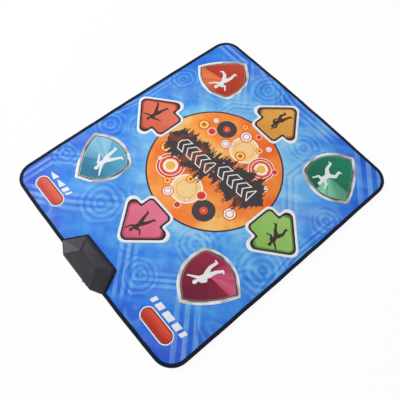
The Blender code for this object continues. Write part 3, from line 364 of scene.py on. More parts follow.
    def turned(self, vector: object, centre: Spot, angle: float) -> bpy.types.NodeSocket:
        """Coordinates about a centre, turned so that an angle lies along x.

        Args:
            vector: The coordinates.
            centre: The new origin, x and y.
            angle: The direction that becomes x, in radians.

        Returns:
            The new coordinates.
        """
        node = self.node("ShaderNodeMapping", vector_type="TEXTURE")
        self.feed(node.inputs["Vector"], vector)
        node.inputs["Location"].default_value = (centre[0], centre[1], 0.0)
        node.inputs["Rotation"].default_value = (0.0, 0.0, angle)
        return node.outputs[0]

    def brushed(
        self, vector: object, centre: Spot, angle: float, scales: tuple[float, float]
    ) -> bpy.types.NodeSocket:
        """Coordinates in which noise runs in long strokes.

        Args:
            vector: The coordinates.
            centre: The new origin, x and y.
            angle: The direction of the strokes, in radians.
            scales: How fine the noise is along the strokes and across them.

        Returns:
            The new coordinates.
        """
        return self.vector("MULTIPLY", self.turned(vector, centre, angle), (*scales, 1.0)).outputs[0]


class Groups:
    """The shader node groups that several finishes share, each made once."""

    made: dict[str, bpy.types.NodeTree] = {}

    @classmethod
    def start(cls, name: str, inputs: dict[str, object], outputs: list[str]) -> tuple[Graph, list, list]:
        """Starts a group.

        Args:
            name: The group's name.
            inputs: Names of its inputs with their values, each a number or three of them.
            outputs: Names of its outputs, each a number.

        Returns:
            The graph, the sockets that give the inputs and those that take the outputs.
        """
        tree = bpy.data.node_groups.new(name, "ShaderNodeTree")
        for label, value in inputs.items():
            kind = "NodeSocketVector" if isinstance(value, tuple) else "NodeSocketFloat"
            tree.interface.new_socket(label, in_out="INPUT", socket_type=kind).default_value = value
        for label in outputs:
            tree.interface.new_socket(label, in_out="OUTPUT", socket_type="NodeSocketFloat")
        graph = Graph(tree)
        entry = graph.node("NodeGroupInput")
        leave = graph.node("NodeGroupOutput")
        cls.made[name] = tree
        return graph, list(entry.outputs), list(leave.inputs)

    @classmethod
    def disc(cls) -> bpy.types.NodeTree:
        """Makes a soft-edged disc about a centre in the xy plane.

        Returns:
            The group, which puts out a mask.
        """
        if "Disc" not in cls.made:
            inputs = {"Vector": ORIGIN, "Centre": ORIGIN, "Radius": 0.1, "Soft": 0.001}
            graph, given, asked = cls.start("Disc", inputs, ["Mask"])
            distance = graph.vector("DISTANCE", graph.flat(given[0]), given[1]).outputs["Value"]
            inner = graph.math("SUBTRACT", given[2], given[3])
            outer = graph.math("ADD", given[2], given[3])
            graph.feed(asked[0], graph.fade(distance, inner, outer))
        return cls.made["Disc"]

    @classmethod
    def ripples(cls) -> bpy.types.NodeTree:
        """Makes rings that run out from a centre and fade.

        Returns:
            The group, which puts out a value from -1 to 1.
        """
        if "Ripples" not in cls.made:
            inputs = {"Vector": ORIGIN, "Centre": ORIGIN, "Spacing": 0.02, "Reach": 0.1}
            graph, given, asked = cls.start("Ripples", inputs, ["Wave"])
            distance = graph.vector("DISTANCE", graph.flat(given[0]), given[1]).outputs["Value"]
            turns = graph.math("DIVIDE", distance, given[2])
            wave = graph.math("COSINE", graph.math("MULTIPLY", turns, 2 * math.pi))
            near = graph.fade(distance, graph.math("MULTIPLY", given[3], 0.7), given[3])
            graph.feed(asked[0], graph.math("MULTIPLY", wave, near))
        return cls.made["Ripples"]

    @classmethod
    def rails(cls) -> bpy.types.NodeTree:
        """Makes a bundle of stripes along x that bends at the origin.

        Returns:
            The group, which puts out a value from -1 to 1.
        """
        if "Rails" not in cls.made:
            inputs = {"Vector": ORIGIN, "Bend": 0.8, "Half Width": 0.03, "Reach": 0.2}
            graph, given, asked = cls.start("Rails", inputs, ["Wave"])
            x, y = graph.axes(given[0])
            cosine, sine = graph.math("COSINE", given[1]), graph.math("SINE", given[1])
            half = graph.math("MULTIPLY", given[1], 0.5)
            forward = graph.math("MULTIPLY", x, graph.math("COSINE", half))
            along = graph.math("MULTIPLY_ADD", y, graph.math("SINE", half), forward)
            turned = graph.math("MULTIPLY", y, cosine)
            second = graph.math("SUBTRACT", turned, graph.math("MULTIPLY", x, sine))
            past = graph.math("GREATER_THAN", along, 0.0)
            across = graph.math("MULTIPLY_ADD", graph.math("SUBTRACT", second, y), past, y)
            share = graph.math("MULTIPLY_ADD", graph.math("DIVIDE", across, given[2]), 0.5, 0.5)
            stripe = graph.ramp(share, [(place, grey(tone)) for place, tone in STRIPES])
            full = graph.math("MULTIPLY", given[3], 0.6)
            near = graph.fade(graph.math("ABSOLUTE", along), full, given[3])
            signed = graph.math("MULTIPLY_ADD", stripe, 2.0, -1.0)
            graph.feed(asked[0], graph.math("MULTIPLY", signed, near))
        return cls.made["Rails"]

    @classmethod
    def grain(cls) -> bpy.types.NodeTree:
        """Makes the grain of a surface, of fine pits and slow smudges.

        Returns:
            The group, which puts out a height and a roughness.
        """
        if "Grain" not in cls.made:
            inputs = {
                "Vector": ORIGIN, "Pit Scale": 900.0, "Smudge Scale": 14.0,
                "Base Roughness": 0.4, "Spread": 0.1,
            }
            graph, given, asked = cls.start("Grain", inputs, ["Height", "Roughness"])
            pits = graph.node("ShaderNodeTexVoronoi", feature="SMOOTH_F1")
            graph.feed(pits.inputs["Vector"], given[0])
            graph.feed(pits.inputs["Scale"], given[1])
            fine = graph.node("ShaderNodeTexNoise")
            graph.feed(fine.inputs["Vector"], given[0])
            graph.feed(fine.inputs["Scale"], graph.math("MULTIPLY", given[1], 0.4))
            graph.feed(asked[0], graph.math("ADD", pits.outputs["Distance"], fine.outputs["Fac"]))
            smudge = graph.node("ShaderNodeTexNoise")
            graph.feed(smudge.inputs["Vector"], given[0])
            graph.feed(smudge.inputs["Scale"], given[2])
            centred = graph.math("SUBTRACT", smudge.outputs["Fac"], 0.5)
            graph.feed(asked[1], graph.math("MULTIPLY_ADD", centred, given[4], given[3]))
        return cls.made["Grain"]


class Material:
    """A Principled material that is being built, with its grain."""

    def __init__(self, name: str) -> None:
        """Starts a material.

        Args:
            name: The material's name.
        """
        self.data = bpy.data.materials.new(name)
        self.data.use_nodes = True
        self.graph = Graph(self.data.node_tree)
        self.shader = self.data.node_tree.nodes["Principled BSDF"]

    def set(self, **values: object) -> None:
        """Feeds inputs of the shader, named in lower case with underscores."""
        for name, value in values.items():
            socket = name.replace("_", " ").title().replace("Ior", "IOR")
            self.graph.feed(self.shader.inputs[socket], value)

    def rough(
        self, base: float, spread: float, pit_scale: float, depth: float, smudge_scale: float = 14.0
    ) -> None:
        """Gives the surface its grain.

        Args:
            base: The mean roughness.
            spread: How much the roughness wanders.
            pit_scale: Pits per metre.
            depth: Depth of the pits, in metres.
            smudge_scale: Smudges per metre.
        """
        grain = self.graph.use(Groups.grain(), self.graph.place(), pit_scale, smudge_scale, base, spread)
        self.emboss(grain.outputs["Height"], depth)
        self.graph.feed(self.shader.inputs["Roughness"], grain.outputs["Roughness"])

    def emboss(self, height: bpy.types.NodeSocket, depth: float) -> None:
        """Raises the surface, on top of what is already raised on it.

        Args:
            height: The height to raise it by, from 0 to 1.
            depth: What a height of 1 stands for, in metres.
        """
        bump = self.graph.node("ShaderNodeBump")
        bump.inputs["Strength"].default_value = 1.0
        bump.inputs["Distance"].default_value = depth
        self.graph.feed(bump.inputs["Height"], height)
        for link in self.shader.inputs["Normal"].links:
            self.graph.feed(bump.inputs["Normal"], link.from_socket)
        self.graph.feed(self.shader.inputs["Normal"], bump.outputs[0])


@dataclass(frozen=True)
class Vinyl:
    """Soft vinyl printed in one ink, under a clear skin with a fine leather grain."""

    name: str
    ink: Colour
    roughness: float = 0.42

    def make(self) -> bpy.types.Material:
        """Builds the material.

        Returns:
            The material.
        """
        material = Material(self.name)
        self.dress(material, self.ink)
        return material.data

    def dress(self, material: Material, ink: object) -> None:
        """Prints an ink and lays the skin over it.

        Args:
            material: The material to dress.
            ink: The ink, a colour or an output socket.
        """
        graph = material.graph
        mottle = graph.noise(graph.place(), 60.0, 4.0)
        darker = graph.mix(graph.smooth(mottle, 0.35, 0.75), grey(1.0), grey(0.93))
        material.set(base_color=graph.mix(1.0, ink, darker, "MULTIPLY"), specular_ior_level=0.25)
        material.rough(self.roughness, 0.12, 1400.0, 0.00003, 9.0)


@dataclass(frozen=True)
class Moulded:
    """Moulded plastic with a spark-eroded texture."""

    name: str
    colour: Colour
    roughness: float = 0.42
    pit_scale: float = 1800.0
    depth: float = 0.00002

    def make(self) -> bpy.types.Material:
        """Builds the material.

        Returns:
            The material.
        """
        material = Material(self.name)
        graph = material.graph
        cloud = graph.smooth(graph.noise(graph.place(), 35.0, 4.0), 0.3, 0.7)
        paler = toned(self.colour, 1.18, 0.002)
        material.set(base_color=graph.mix(cloud, self.colour, paler), specular_ior_level=0.15)
        material.rough(self.roughness, 0.12, self.pit_scale, self.depth, 40.0)
        return material.data


@dataclass(frozen=True)
class Metal:
    """Plated or zinc-coated metal with fine handling marks."""

    name: str
    colour: Colour
    roughness: float = 0.3

    def make(self) -> bpy.types.Material:
        """Builds the material.

        Returns:
            The material.
        """
        material = Material(self.name)
        graph = material.graph
        stain = graph.smooth(graph.noise(graph.place(), 220.0, 4.0), 0.45, 0.8)
        material.set(base_color=graph.mix(stain, self.colour, toned(self.colour, 0.7)), metallic=1.0)
        material.rough(self.roughness, 0.2, 2500.0, 0.00001, 300.0)
        return material.data


@dataclass(frozen=True)
class Foam:
    """Open-cell foam sheet, whose cell pits are painted darker as shade."""

    name: str
    colour: Colour

    def make(self) -> bpy.types.Material:
        """Builds the material.

        Returns:
            The material.
        """
        material = Material(self.name)
        graph = material.graph
        cells = graph.node("ShaderNodeTexVoronoi")
        graph.feed(cells.inputs["Vector"], graph.place())
        cells.inputs["Scale"].default_value = 900.0
        # The pits at the cells' middles are painted darker, as painted shade, and the walls between them keep
        # the foam's colour
        wall = graph.smooth(cells.outputs["Distance"], 0.1, 0.6)
        material.set(base_color=graph.mix(wall, toned(self.colour, 0.75), self.colour))
        material.rough(0.9, 0.05, 900.0, 0.0002)
        return material.data


@dataclass(frozen=True)
class Webbing:
    """Woven tape with a fine twill."""

    name: str
    colour: Colour
    pitch: float = 0.0009

    def make(self) -> bpy.types.Material:
        """Builds the material.

        Returns:
            The material.
        """
        material = Material(self.name)
        graph = material.graph
        place = graph.place()
        twill = graph.node("ShaderNodeTexWave", wave_type="BANDS", bands_direction="DIAGONAL")
        graph.feed(twill.inputs["Vector"], place)
        twill.inputs["Scale"].default_value = 0.3 / self.pitch
        twill.inputs["Distortion"].default_value = 0.6
        thread = twill.outputs["Fac"]
        worn = graph.smooth(graph.noise(place, 25.0, 5.0), 0.45, 0.75)
        pale = toned(self.colour, 1.7, 0.004)
        tint = graph.mix(graph.math("MULTIPLY", worn, thread), self.colour, pale)
        material.set(base_color=tint, sheen_weight=0.05, sheen_roughness=0.5, specular_ior_level=0.1)
        material.set(roughness=graph.math("MULTIPLY_ADD", thread, 0.15, 0.62))
        material.emboss(thread, 0.00015)
        return material.data


@dataclass(frozen=True)
class Rubber:
    """Anti-slip sheet with a pattern of small round nubs."""

    name: str
    colour: Colour
    pitch: float = 0.006

    def make(self) -> bpy.types.Material:
        """Builds the material.

        Returns:
            The material.
        """
        material = Material(self.name)
        graph = material.graph
        place = graph.place()
        wrapped = graph.vector("WRAP", place, (self.pitch, self.pitch, 1.0), (0.0, 0.0, -1.0)).outputs[0]
        middle = (self.pitch / 2, self.pitch / 2, 0.0)
        nub = graph.use(Groups.disc(), wrapped, middle, self.pitch * 0.28, self.pitch * 0.08).outputs[0]
        dust = graph.math("MULTIPLY", graph.smooth(graph.noise(place, 18.0, 5.0), 0.4, 0.8), 0.6)
        between = graph.math("MULTIPLY", dust, graph.math("SUBTRACT", 1.0, nub))
        material.set(base_color=graph.mix(between, self.colour, toned(self.colour, 1.5, 0.01)))
        material.set(roughness=graph.math("MULTIPLY_ADD", nub, -0.15, 0.85))
        material.emboss(nub, 0.0004)
        return material.data


@dataclass(frozen=True)
class Film:
    """Printed polyester film with a conductive ink pattern."""

    name: str
    colour: Colour
    ink: Colour
    pitch: float = 0.004

    def make(self) -> bpy.types.Material:
        """Builds the material.

        Returns:
            The material.
        """
        material = Material(self.name)
        graph = material.graph
        across, _ = graph.axes(graph.place())
        wave = graph.math("COSINE", graph.math("MULTIPLY", across, 2 * math.pi / self.pitch))
        material.set(base_color=graph.mix(graph.smooth(wave, 0.1, 0.3), self.colour, self.ink))
        material.rough(0.3, 0.1, 700.0, 0.00001)
        return material.data


@dataclass(frozen=True)
class Target:
    """A round mark of the medallion, in rings of ink from its middle outwards."""

    x: float
    y: float
    radius: float
    inks: tuple[tuple[float, Colour], ...]


@dataclass(frozen=True)
class SoundWave:
    """A spiky charcoal sound wave, with a row of white-lined chevrons on each of its two halves.

    Each spike layer has a pitch, a seed and a greatest height.
    """

    centre: Spot
    angle: float = 4.0
    half: float = 0.024
    spikes: tuple[tuple[float, float, float], ...] = (
        (0.0032, 3.0, 0.022), (0.0096, 17.0, 0.026), (0.052, 5.0, 0.016),
    )
    full_to: float = 0.165
    end: float = 0.205
    row_shift: float = 0.011
    row_half: float = 0.0255
    row_from: float = 0.006
    row_to: float = 0.152
    pitch: float = 0.041
    lean: float = 0.70
    stroke: float = 0.0076
    line: float = 0.0016

    def lay(
        self, graph: Graph, place: bpy.types.NodeSocket, ink: bpy.types.NodeSocket
    ) -> bpy.types.NodeSocket:
        """Lays the wave over an ink.

        Args:
            graph: The material's graph.
            place: The object coordinates.
            ink: The ink below.

        Returns:
            The ink with the wave on it.
        """
        along, aside = graph.axes(graph.turned(place, self.centre, math.radians(self.angle)))
        past = graph.math("GREATER_THAN", along, 0.0)
        shifted = graph.math("ADD", aside, self.row_shift)
        across = graph.math("ABSOLUTE", graph.math("MULTIPLY_ADD", past, -2 * self.row_shift, shifted))
        reach = self.half
        for pitch, seed, height in self.spikes:
            cell = graph.math("FLOOR", graph.math("DIVIDE", along, pitch))
            dice = graph.node("ShaderNodeTexWhiteNoise", noise_dimensions="1D")
            graph.feed(dice.inputs["W"], graph.math("ADD", cell, seed))
            reach = graph.math("MULTIPLY_ADD", dice.outputs["Value"], height, reach)
        ends = graph.fade(graph.math("ABSOLUTE", along), self.full_to, self.end)
        over = graph.math("SUBTRACT", across, graph.math("MULTIPLY", reach, ends))
        rust = graph.smooth(graph.noise(place, 17.0, 4.0), 0.56, 0.66)
        mass = graph.mix(rust, CHARCOAL, srgb(128, 66, 50))
        ink = graph.mix(graph.fade(over, -0.0004, 0.0004), ink, mass)
        return graph.mix(self.chevrons(graph, along, across), ink, srgb(248, 244, 240))

    def chevrons(
        self, graph: Graph, along: bpy.types.NodeSocket, across: bpy.types.NodeSocket
    ) -> bpy.types.NodeSocket:
        """Outlines the chevrons.

        Args:
            graph: The material's graph.
            along: The place along the rows, from the wave's middle.
            across: The distance from a row's middle line.

        Returns:
            A mask of their lines.
        """
        lean = graph.math("MULTIPLY_ADD", across, self.lean, along)
        turn = graph.math("PINGPONG", graph.math("ADD", lean, 4 * self.pitch), self.pitch / 2)
        body = graph.math("MULTIPLY", graph.math("SUBTRACT", self.stroke, turn), 0.8)
        from_middle = graph.math("ABSOLUTE", along)
        outside = graph.math("MAXIMUM", body, graph.math("SUBTRACT", across, self.row_half))
        outside = graph.math("MAXIMUM", outside, graph.math("SUBTRACT", from_middle, self.row_to))
        outside = graph.math("MAXIMUM", outside, graph.math("SUBTRACT", self.row_from, from_middle))
        depth = graph.math("ABSOLUTE", graph.math("ADD", outside, self.line))
        return graph.fade(graph.math("SUBTRACT", depth, self.line), -0.0003, 0.0003)


@dataclass(frozen=True)
class CoverPrint:
    """The cover's print: a blue ground with ripples and bent rails, and an orange medallion in the middle."""

    name: str
    centre: tuple[float, float, float] = (0.003, -0.051, 0.0)
    radius: float = 0.2235
    outline: float = 0.0055
    crease: float = 0.0024

    def make(self) -> bpy.types.Material:
        """Builds the material.

        Returns:
            The material.
        """
        material = Material(self.name)
        graph = material.graph
        place = graph.place()
        ink = self.ground(graph, place)
        ink = self.lines(graph, place, ink)
        ink = self.medallion(graph, place, ink)
        Vinyl(self.name, WHITE).dress(material, ink)
        folds = graph.brushed(place, (0.0, 0.0), 0.3, (7.0, 15.0))
        material.emboss(graph.noise(folds, 1.0, 3.0), self.crease)
        return material.data

    def ground(self, graph: Graph, place: bpy.types.NodeSocket) -> bpy.types.NodeSocket:
        """Paints the blue ground, misty and pale near the medallion and deep at the edges, in long strokes.

        Args:
            graph: The material's graph.
            place: The object coordinates.

        Returns:
            The ground's ink.
        """
        offset = graph.vector("SUBTRACT", graph.flat(place), self.centre).outputs[0]
        distance = graph.vector("LENGTH", offset).outputs["Value"]
        heading = graph.vector("NORMALIZE", offset).outputs[0]
        polar = graph.vector("ADD", heading, offset).outputs[0]
        rays = graph.noise(polar, 4.2, 4.0)
        strokes = graph.brushed(place, (0.0, 0.0), 0.62, (3.5, 15.0))
        stroke = graph.noise(strokes, 1.9, 3.0)
        crossing = graph.noise(graph.brushed(place, (0.1, 0.0), -0.75, (5.0, 20.0)), 1.3, 2.0)
        cloud = graph.noise(place, 4.6, 3.0)
        shade = graph.math("MULTIPLY_ADD", distance, 2.06, -0.20)
        for value, amount in ((rays, 0.70), (stroke, 0.66), (crossing, 0.34), (cloud, 0.66)):
            change = graph.math("MULTIPLY", graph.math("SUBTRACT", value, 0.5), amount)
            shade = graph.math("ADD", shade, change)
        blue = graph.ramp(shade, [
            (0.10, srgb(158, 212, 246)),
            (0.30, srgb(118, 188, 242)),
            (0.48, srgb(80, 158, 238)),
            (0.66, srgb(52, 128, 232)),
            (0.84, srgb(36, 104, 224)),
            (1.00, srgb(28, 84, 212)),
        ])
        tinge = graph.smooth(graph.noise(place, 2.7, 3.0), 0.42, 0.68)
        blue = graph.mix(graph.math("MULTIPLY", tinge, 0.22), blue, srgb(96, 196, 236))
        violet = graph.smooth(graph.noise(strokes, 0.8, 2.0), 0.50, 0.66)
        return graph.mix(graph.math("MULTIPLY", violet, 0.30), blue, srgb(116, 134, 220))

    def lines(
        self, graph: Graph, place: bpy.types.NodeSocket, ink: bpy.types.NodeSocket
    ) -> bpy.types.NodeSocket:
        """Lays wandering ripples and bent rails over the ground, in a paler and a deeper tint.

        Args:
            graph: The material's graph.
            place: The object coordinates.
            ink: The ground's ink.

        Returns:
            The ink with the lines on it.
        """
        wander = graph.node("ShaderNodeTexNoise")
        graph.feed(wander.inputs["Vector"], place)
        wander.inputs["Scale"].default_value = 14.0
        wander.inputs["Detail"].default_value = 2.0
        shift = graph.vector("SUBTRACT", wander.outputs["Color"], (0.5, 0.5, 0.5)).outputs[0]
        shift = graph.vector("MULTIPLY", shift, (0.026, 0.026, 0.0)).outputs[0]
        bent = graph.vector("ADD", place, shift).outputs[0]
        total = 0.0
        for x, y, spacing, reach in RIPPLES:
            wave = graph.use(Groups.ripples(), bent, (x, y, 0.0), spacing, reach).outputs[0]
            total = graph.math("ADD", total, graph.math("MULTIPLY", wave, 0.60))
        for x, y, angle, bend, half_width, reach in RAILS:
            turned = graph.turned(place, (x, y), math.radians(angle))
            wave = graph.use(Groups.rails(), turned, math.radians(bend), half_width, reach).outputs[0]
            total = graph.math("ADD", total, wave)
        height = graph.math("MULTIPLY", graph.noise(place, 6.0, 1.0), 2 * math.pi * 14)
        patch = graph.smooth(graph.noise(place, 5.3, 2.0), 0.48, 0.62)
        contours = graph.math("MULTIPLY", graph.math("COSINE", height), graph.math("MULTIPLY", patch, 0.5))
        total = graph.math("ADD", total, contours)
        worn = graph.smooth(graph.noise(place, 30.0, 5.0), 0.25, 0.7)
        pale = graph.math("MULTIPLY_ADD", worn, 0.25, 0.22)
        pale = graph.math("MULTIPLY", graph.smooth(total, 0.05, 0.95), pale)
        deep = graph.math("MULTIPLY_ADD", worn, 0.20, 0.26)
        deep = graph.math("MULTIPLY", graph.smooth(total, -0.05, -0.95), deep)
        ink = graph.mix(pale, ink, srgb(158, 212, 250))
        return graph.mix(deep, ink, srgb(30, 80, 196))

    def medallion(
        self, graph: Graph, place: bpy.types.NodeSocket, ink: bpy.types.NodeSocket
    ) -> bpy.types.NodeSocket:
        """Lays the orange medallion over the ground, with its targets and the sound wave across it.

        Args:
            graph: The material's graph.
            place: The object coordinates.
            ink: The ground's ink.

        Returns:
            The ink with the medallion on it.
        """
        rim = graph.disc(place, self.centre, self.radius)
        inside = graph.disc(place, self.centre, self.radius - self.outline)
        glow = graph.noise(place, 6.0, 3.0)
        orange = graph.ramp(glow, [
            (0.30, srgb(236, 94, 44)),
            (0.42, srgb(245, 122, 50)),
            (0.53, srgb(251, 152, 68)),
            (0.62, srgb(253, 188, 100)),
            (0.74, srgb(254, 222, 152)),
        ])
        flat = graph.flat(place)
        for target in TARGETS:
            middle = (self.centre[0] + target.x, self.centre[1] + target.y, 0.0)
            distance = graph.vector("DISTANCE", flat, middle).outputs["Value"]
            share = graph.math("DIVIDE", distance, target.radius)
            rings = graph.ramp(share, list(target.inks), "CONSTANT")
            orange = graph.mix(graph.disc(place, middle, target.radius), orange, rings)
        orange = SoundWave(self.centre[:2]).lay(graph, place, orange)
        ink = graph.mix(rim, ink, srgb(56, 44, 60))
        return graph.mix(inside, ink, orange)


@dataclass(frozen=True)
class ZonePrint:
    """A press zone's fill: a soft shaded ink, with an optional fan of paler rays."""

    name: str
    pale: Colour
    deep: Colour
    centre: Spot
    half: float
    ray: Colour | None = None
    ray_from: float = 0.0
    ray_span: float = 0.0

    def make(self) -> bpy.types.Material:
        """Builds the material.

        Returns:
            The material.
        """
        material = Material(self.name)
        graph = material.graph
        place = graph.place()
        _, level = graph.axes(graph.turned(place, self.centre, 0.0))
        up = graph.math("DIVIDE", level, self.half)
        wander = graph.math("MULTIPLY_ADD", graph.noise(place, 16.0, 4.0), 1.5, -0.75)
        share = graph.smooth(graph.math("ADD", up, wander), -1.0, 1.1)
        ink = graph.mix(share, self.pale, self.deep)
        if self.ray:
            ink = self.fan(graph, ink)
        Vinyl(self.name, WHITE, 0.34).dress(material, ink)
        return material.data

    def fan(self, graph: Graph, ink: bpy.types.NodeSocket) -> bpy.types.NodeSocket:
        """Lays the paler rays, which spread from the zone's middle.

        Args:
            graph: The material's graph.
            ink: The zone's ink.

        Returns:
            The ink with the rays on it.
        """
        x, y = graph.axes(graph.turned(graph.place(), self.centre, math.radians(self.ray_from)))
        share = graph.math("DIVIDE", graph.math("ARCTAN2", y, x), math.radians(self.ray_span))
        strength = graph.ramp(share, [(place, grey(tone)) for place, tone in RAYS])
        return graph.mix(strength, ink, self.ray)


@dataclass(frozen=True)
class SilverPrint:
    """A silver rim printed with a gradient that turns from white to warm grey round its zone."""

    name: str
    centre: Spot
    bright: Colour
    dull: Colour
    seed: float = 0.0

    def make(self) -> bpy.types.Material:
        """Builds the material.

        Returns:
            The material.
        """
        material = Material(self.name)
        graph = material.graph
        flat = graph.flat(graph.turned(graph.place(), self.centre, 0.0))
        heading = graph.vector("NORMALIZE", flat).outputs[0]
        moved = graph.vector("ADD", heading, (self.seed, 0.0, 0.0)).outputs[0]
        share = graph.smooth(graph.noise(moved, 1.3, 1.5), 0.42, 0.62)
        Vinyl(self.name, WHITE, 0.3).dress(material, graph.mix(share, self.bright, self.dull))
        return material.data


WHITE = (1.0, 1.0, 1.0, 1.0)
CREAM = srgb(252, 246, 236)
RED = srgb(214, 62, 44)
SCARLET = srgb(234, 88, 52)
AMBER = srgb(248, 190, 78)
YELLOW = srgb(253, 222, 112)
PEACH = srgb(253, 212, 150)
CHARCOAL = srgb(62, 54, 58)
SOOT = srgb(92, 82, 88)

# Silver rim and the darker steel line inside it, each from its brightest ink to its dullest
SILVER = (srgb(244, 244, 246), srgb(168, 166, 168))
STEEL = (srgb(212, 212, 216), srgb(112, 104, 104))

# Ripples of the cover's print: middle x and y, spacing and reach
RIPPLES = (
    (-0.128, 0.352, 0.017, 0.070),
    (0.134, 0.300, 0.022, 0.090),
    (-0.345, 0.070, 0.021, 0.105),
    (0.356, 0.108, 0.019, 0.070),
    (-0.128, -0.330, 0.020, 0.080),
    (0.120, -0.405, 0.018, 0.080),
    (0.350, -0.205, 0.0165, 0.066),
    (-0.360, -0.190, 0.0175, 0.066),
    (-0.160, 0.165, 0.020, 0.085),
    (0.352, 0.285, 0.018, 0.060),
)

# Rails of the cover's print: place of the bend x and y, heading, bend, half width and reach
RAILS = (
    (0.200, 0.372, 45.0, -8.0, 0.031, 0.190),
    (-0.062, 0.345, 135.0, 0.0, 0.030, 0.150),
    (-0.330, 0.345, 135.0, 0.0, 0.038, 0.170),
    (-0.190, 0.300, 45.0, 0.0, 0.024, 0.110),
    (0.262, -0.432, -45.0, 45.0, 0.030, 0.210),
    (0.020, -0.428, 0.0, -12.0, 0.026, 0.240),
    (-0.330, -0.425, 135.0, 0.0, 0.044, 0.170),
    (0.372, 0.330, 45.0, 45.0, 0.026, 0.160),
    (-0.372, -0.030, 88.0, 10.0, 0.020, 0.210),
    (0.150, -0.262, 45.0, 45.0, 0.022, 0.150),
    (-0.175, -0.215, -45.0, -45.0, 0.026, 0.170),
    (0.378, -0.030, 90.0, -10.0, 0.018, 0.200),
)

BULL = ((0.0, AMBER), (0.34, CREAM), (0.52, SCARLET), (0.74, CREAM), (0.80, RED), (0.94, CREAM))
RECORD = (
    (0.0, CREAM), (0.06, SCARLET), (0.36, CHARCOAL), (0.50, SOOT), (0.53, CHARCOAL),
    (0.66, SOOT), (0.69, CHARCOAL), (0.82, SOOT), (0.85, CHARCOAL),
)
HALO = ((0.0, CREAM), (0.48, RED), (0.60, CREAM), (0.84, RED))
SUN = ((0.0, SCARLET), (0.42, YELLOW), (0.78, SCARLET))
GLOW = ((0.0, PEACH), (0.58, AMBER), (0.66, PEACH), (0.90, CREAM))
BUTTON = ((0.0, RED), (0.62, SCARLET), (0.84, CREAM))

# Marks of the medallion, from its middle
TARGETS = (
    Target(0.000, 0.118, 0.052, GLOW),
    Target(0.098, 0.104, 0.047, BULL),
    Target(-0.092, 0.126, 0.037, RECORD),
    Target(0.162, 0.070, 0.021, SUN),
    Target(0.032, 0.168, 0.019, HALO),
    Target(-0.152, 0.072, 0.022, HALO),
    Target(0.018, 0.086, 0.015, SUN),
    Target(-0.030, 0.142, 0.009, HALO),
    Target(-0.048, 0.098, 0.017, BUTTON),
    Target(0.062, 0.146, 0.013, SUN),
    Target(-0.024, 0.176, 0.012, BUTTON),
    Target(-0.134, 0.104, 0.009, SUN),
    Target(0.142, 0.112, 0.010, HALO),
    Target(-0.012, -0.120, 0.050, GLOW),
    Target(-0.100, -0.112, 0.043, BULL),
    Target(0.086, -0.130, 0.034, RECORD),
    Target(-0.020, -0.094, 0.018, SUN),
    Target(0.022, -0.160, 0.022, HALO),
    Target(-0.046, -0.156, 0.013, SUN),
    Target(0.150, -0.084, 0.020, SUN),
    Target(-0.158, -0.070, 0.014, HALO),
    Target(0.030, -0.108, 0.009, HALO),
    Target(0.136, -0.126, 0.012, HALO),
    Target(0.046, -0.088, 0.019, HALO),
    Target(0.112, -0.086, 0.015, BUTTON),
    Target(-0.062, -0.184, 0.012, HALO),
    Target(-0.006, -0.192, 0.010, BUTTON),
    Target(0.052, -0.184, 0.011, SUN),
    Target(-0.136, -0.138, 0.011, BUTTON),
)


@dataclass(frozen=True)
class Corner:
    """A corner of an outline, the radius that rounds it and the steps of its arc."""

    x: float
    y: float
    radius: float
    steps: int = FILLET_STEPS


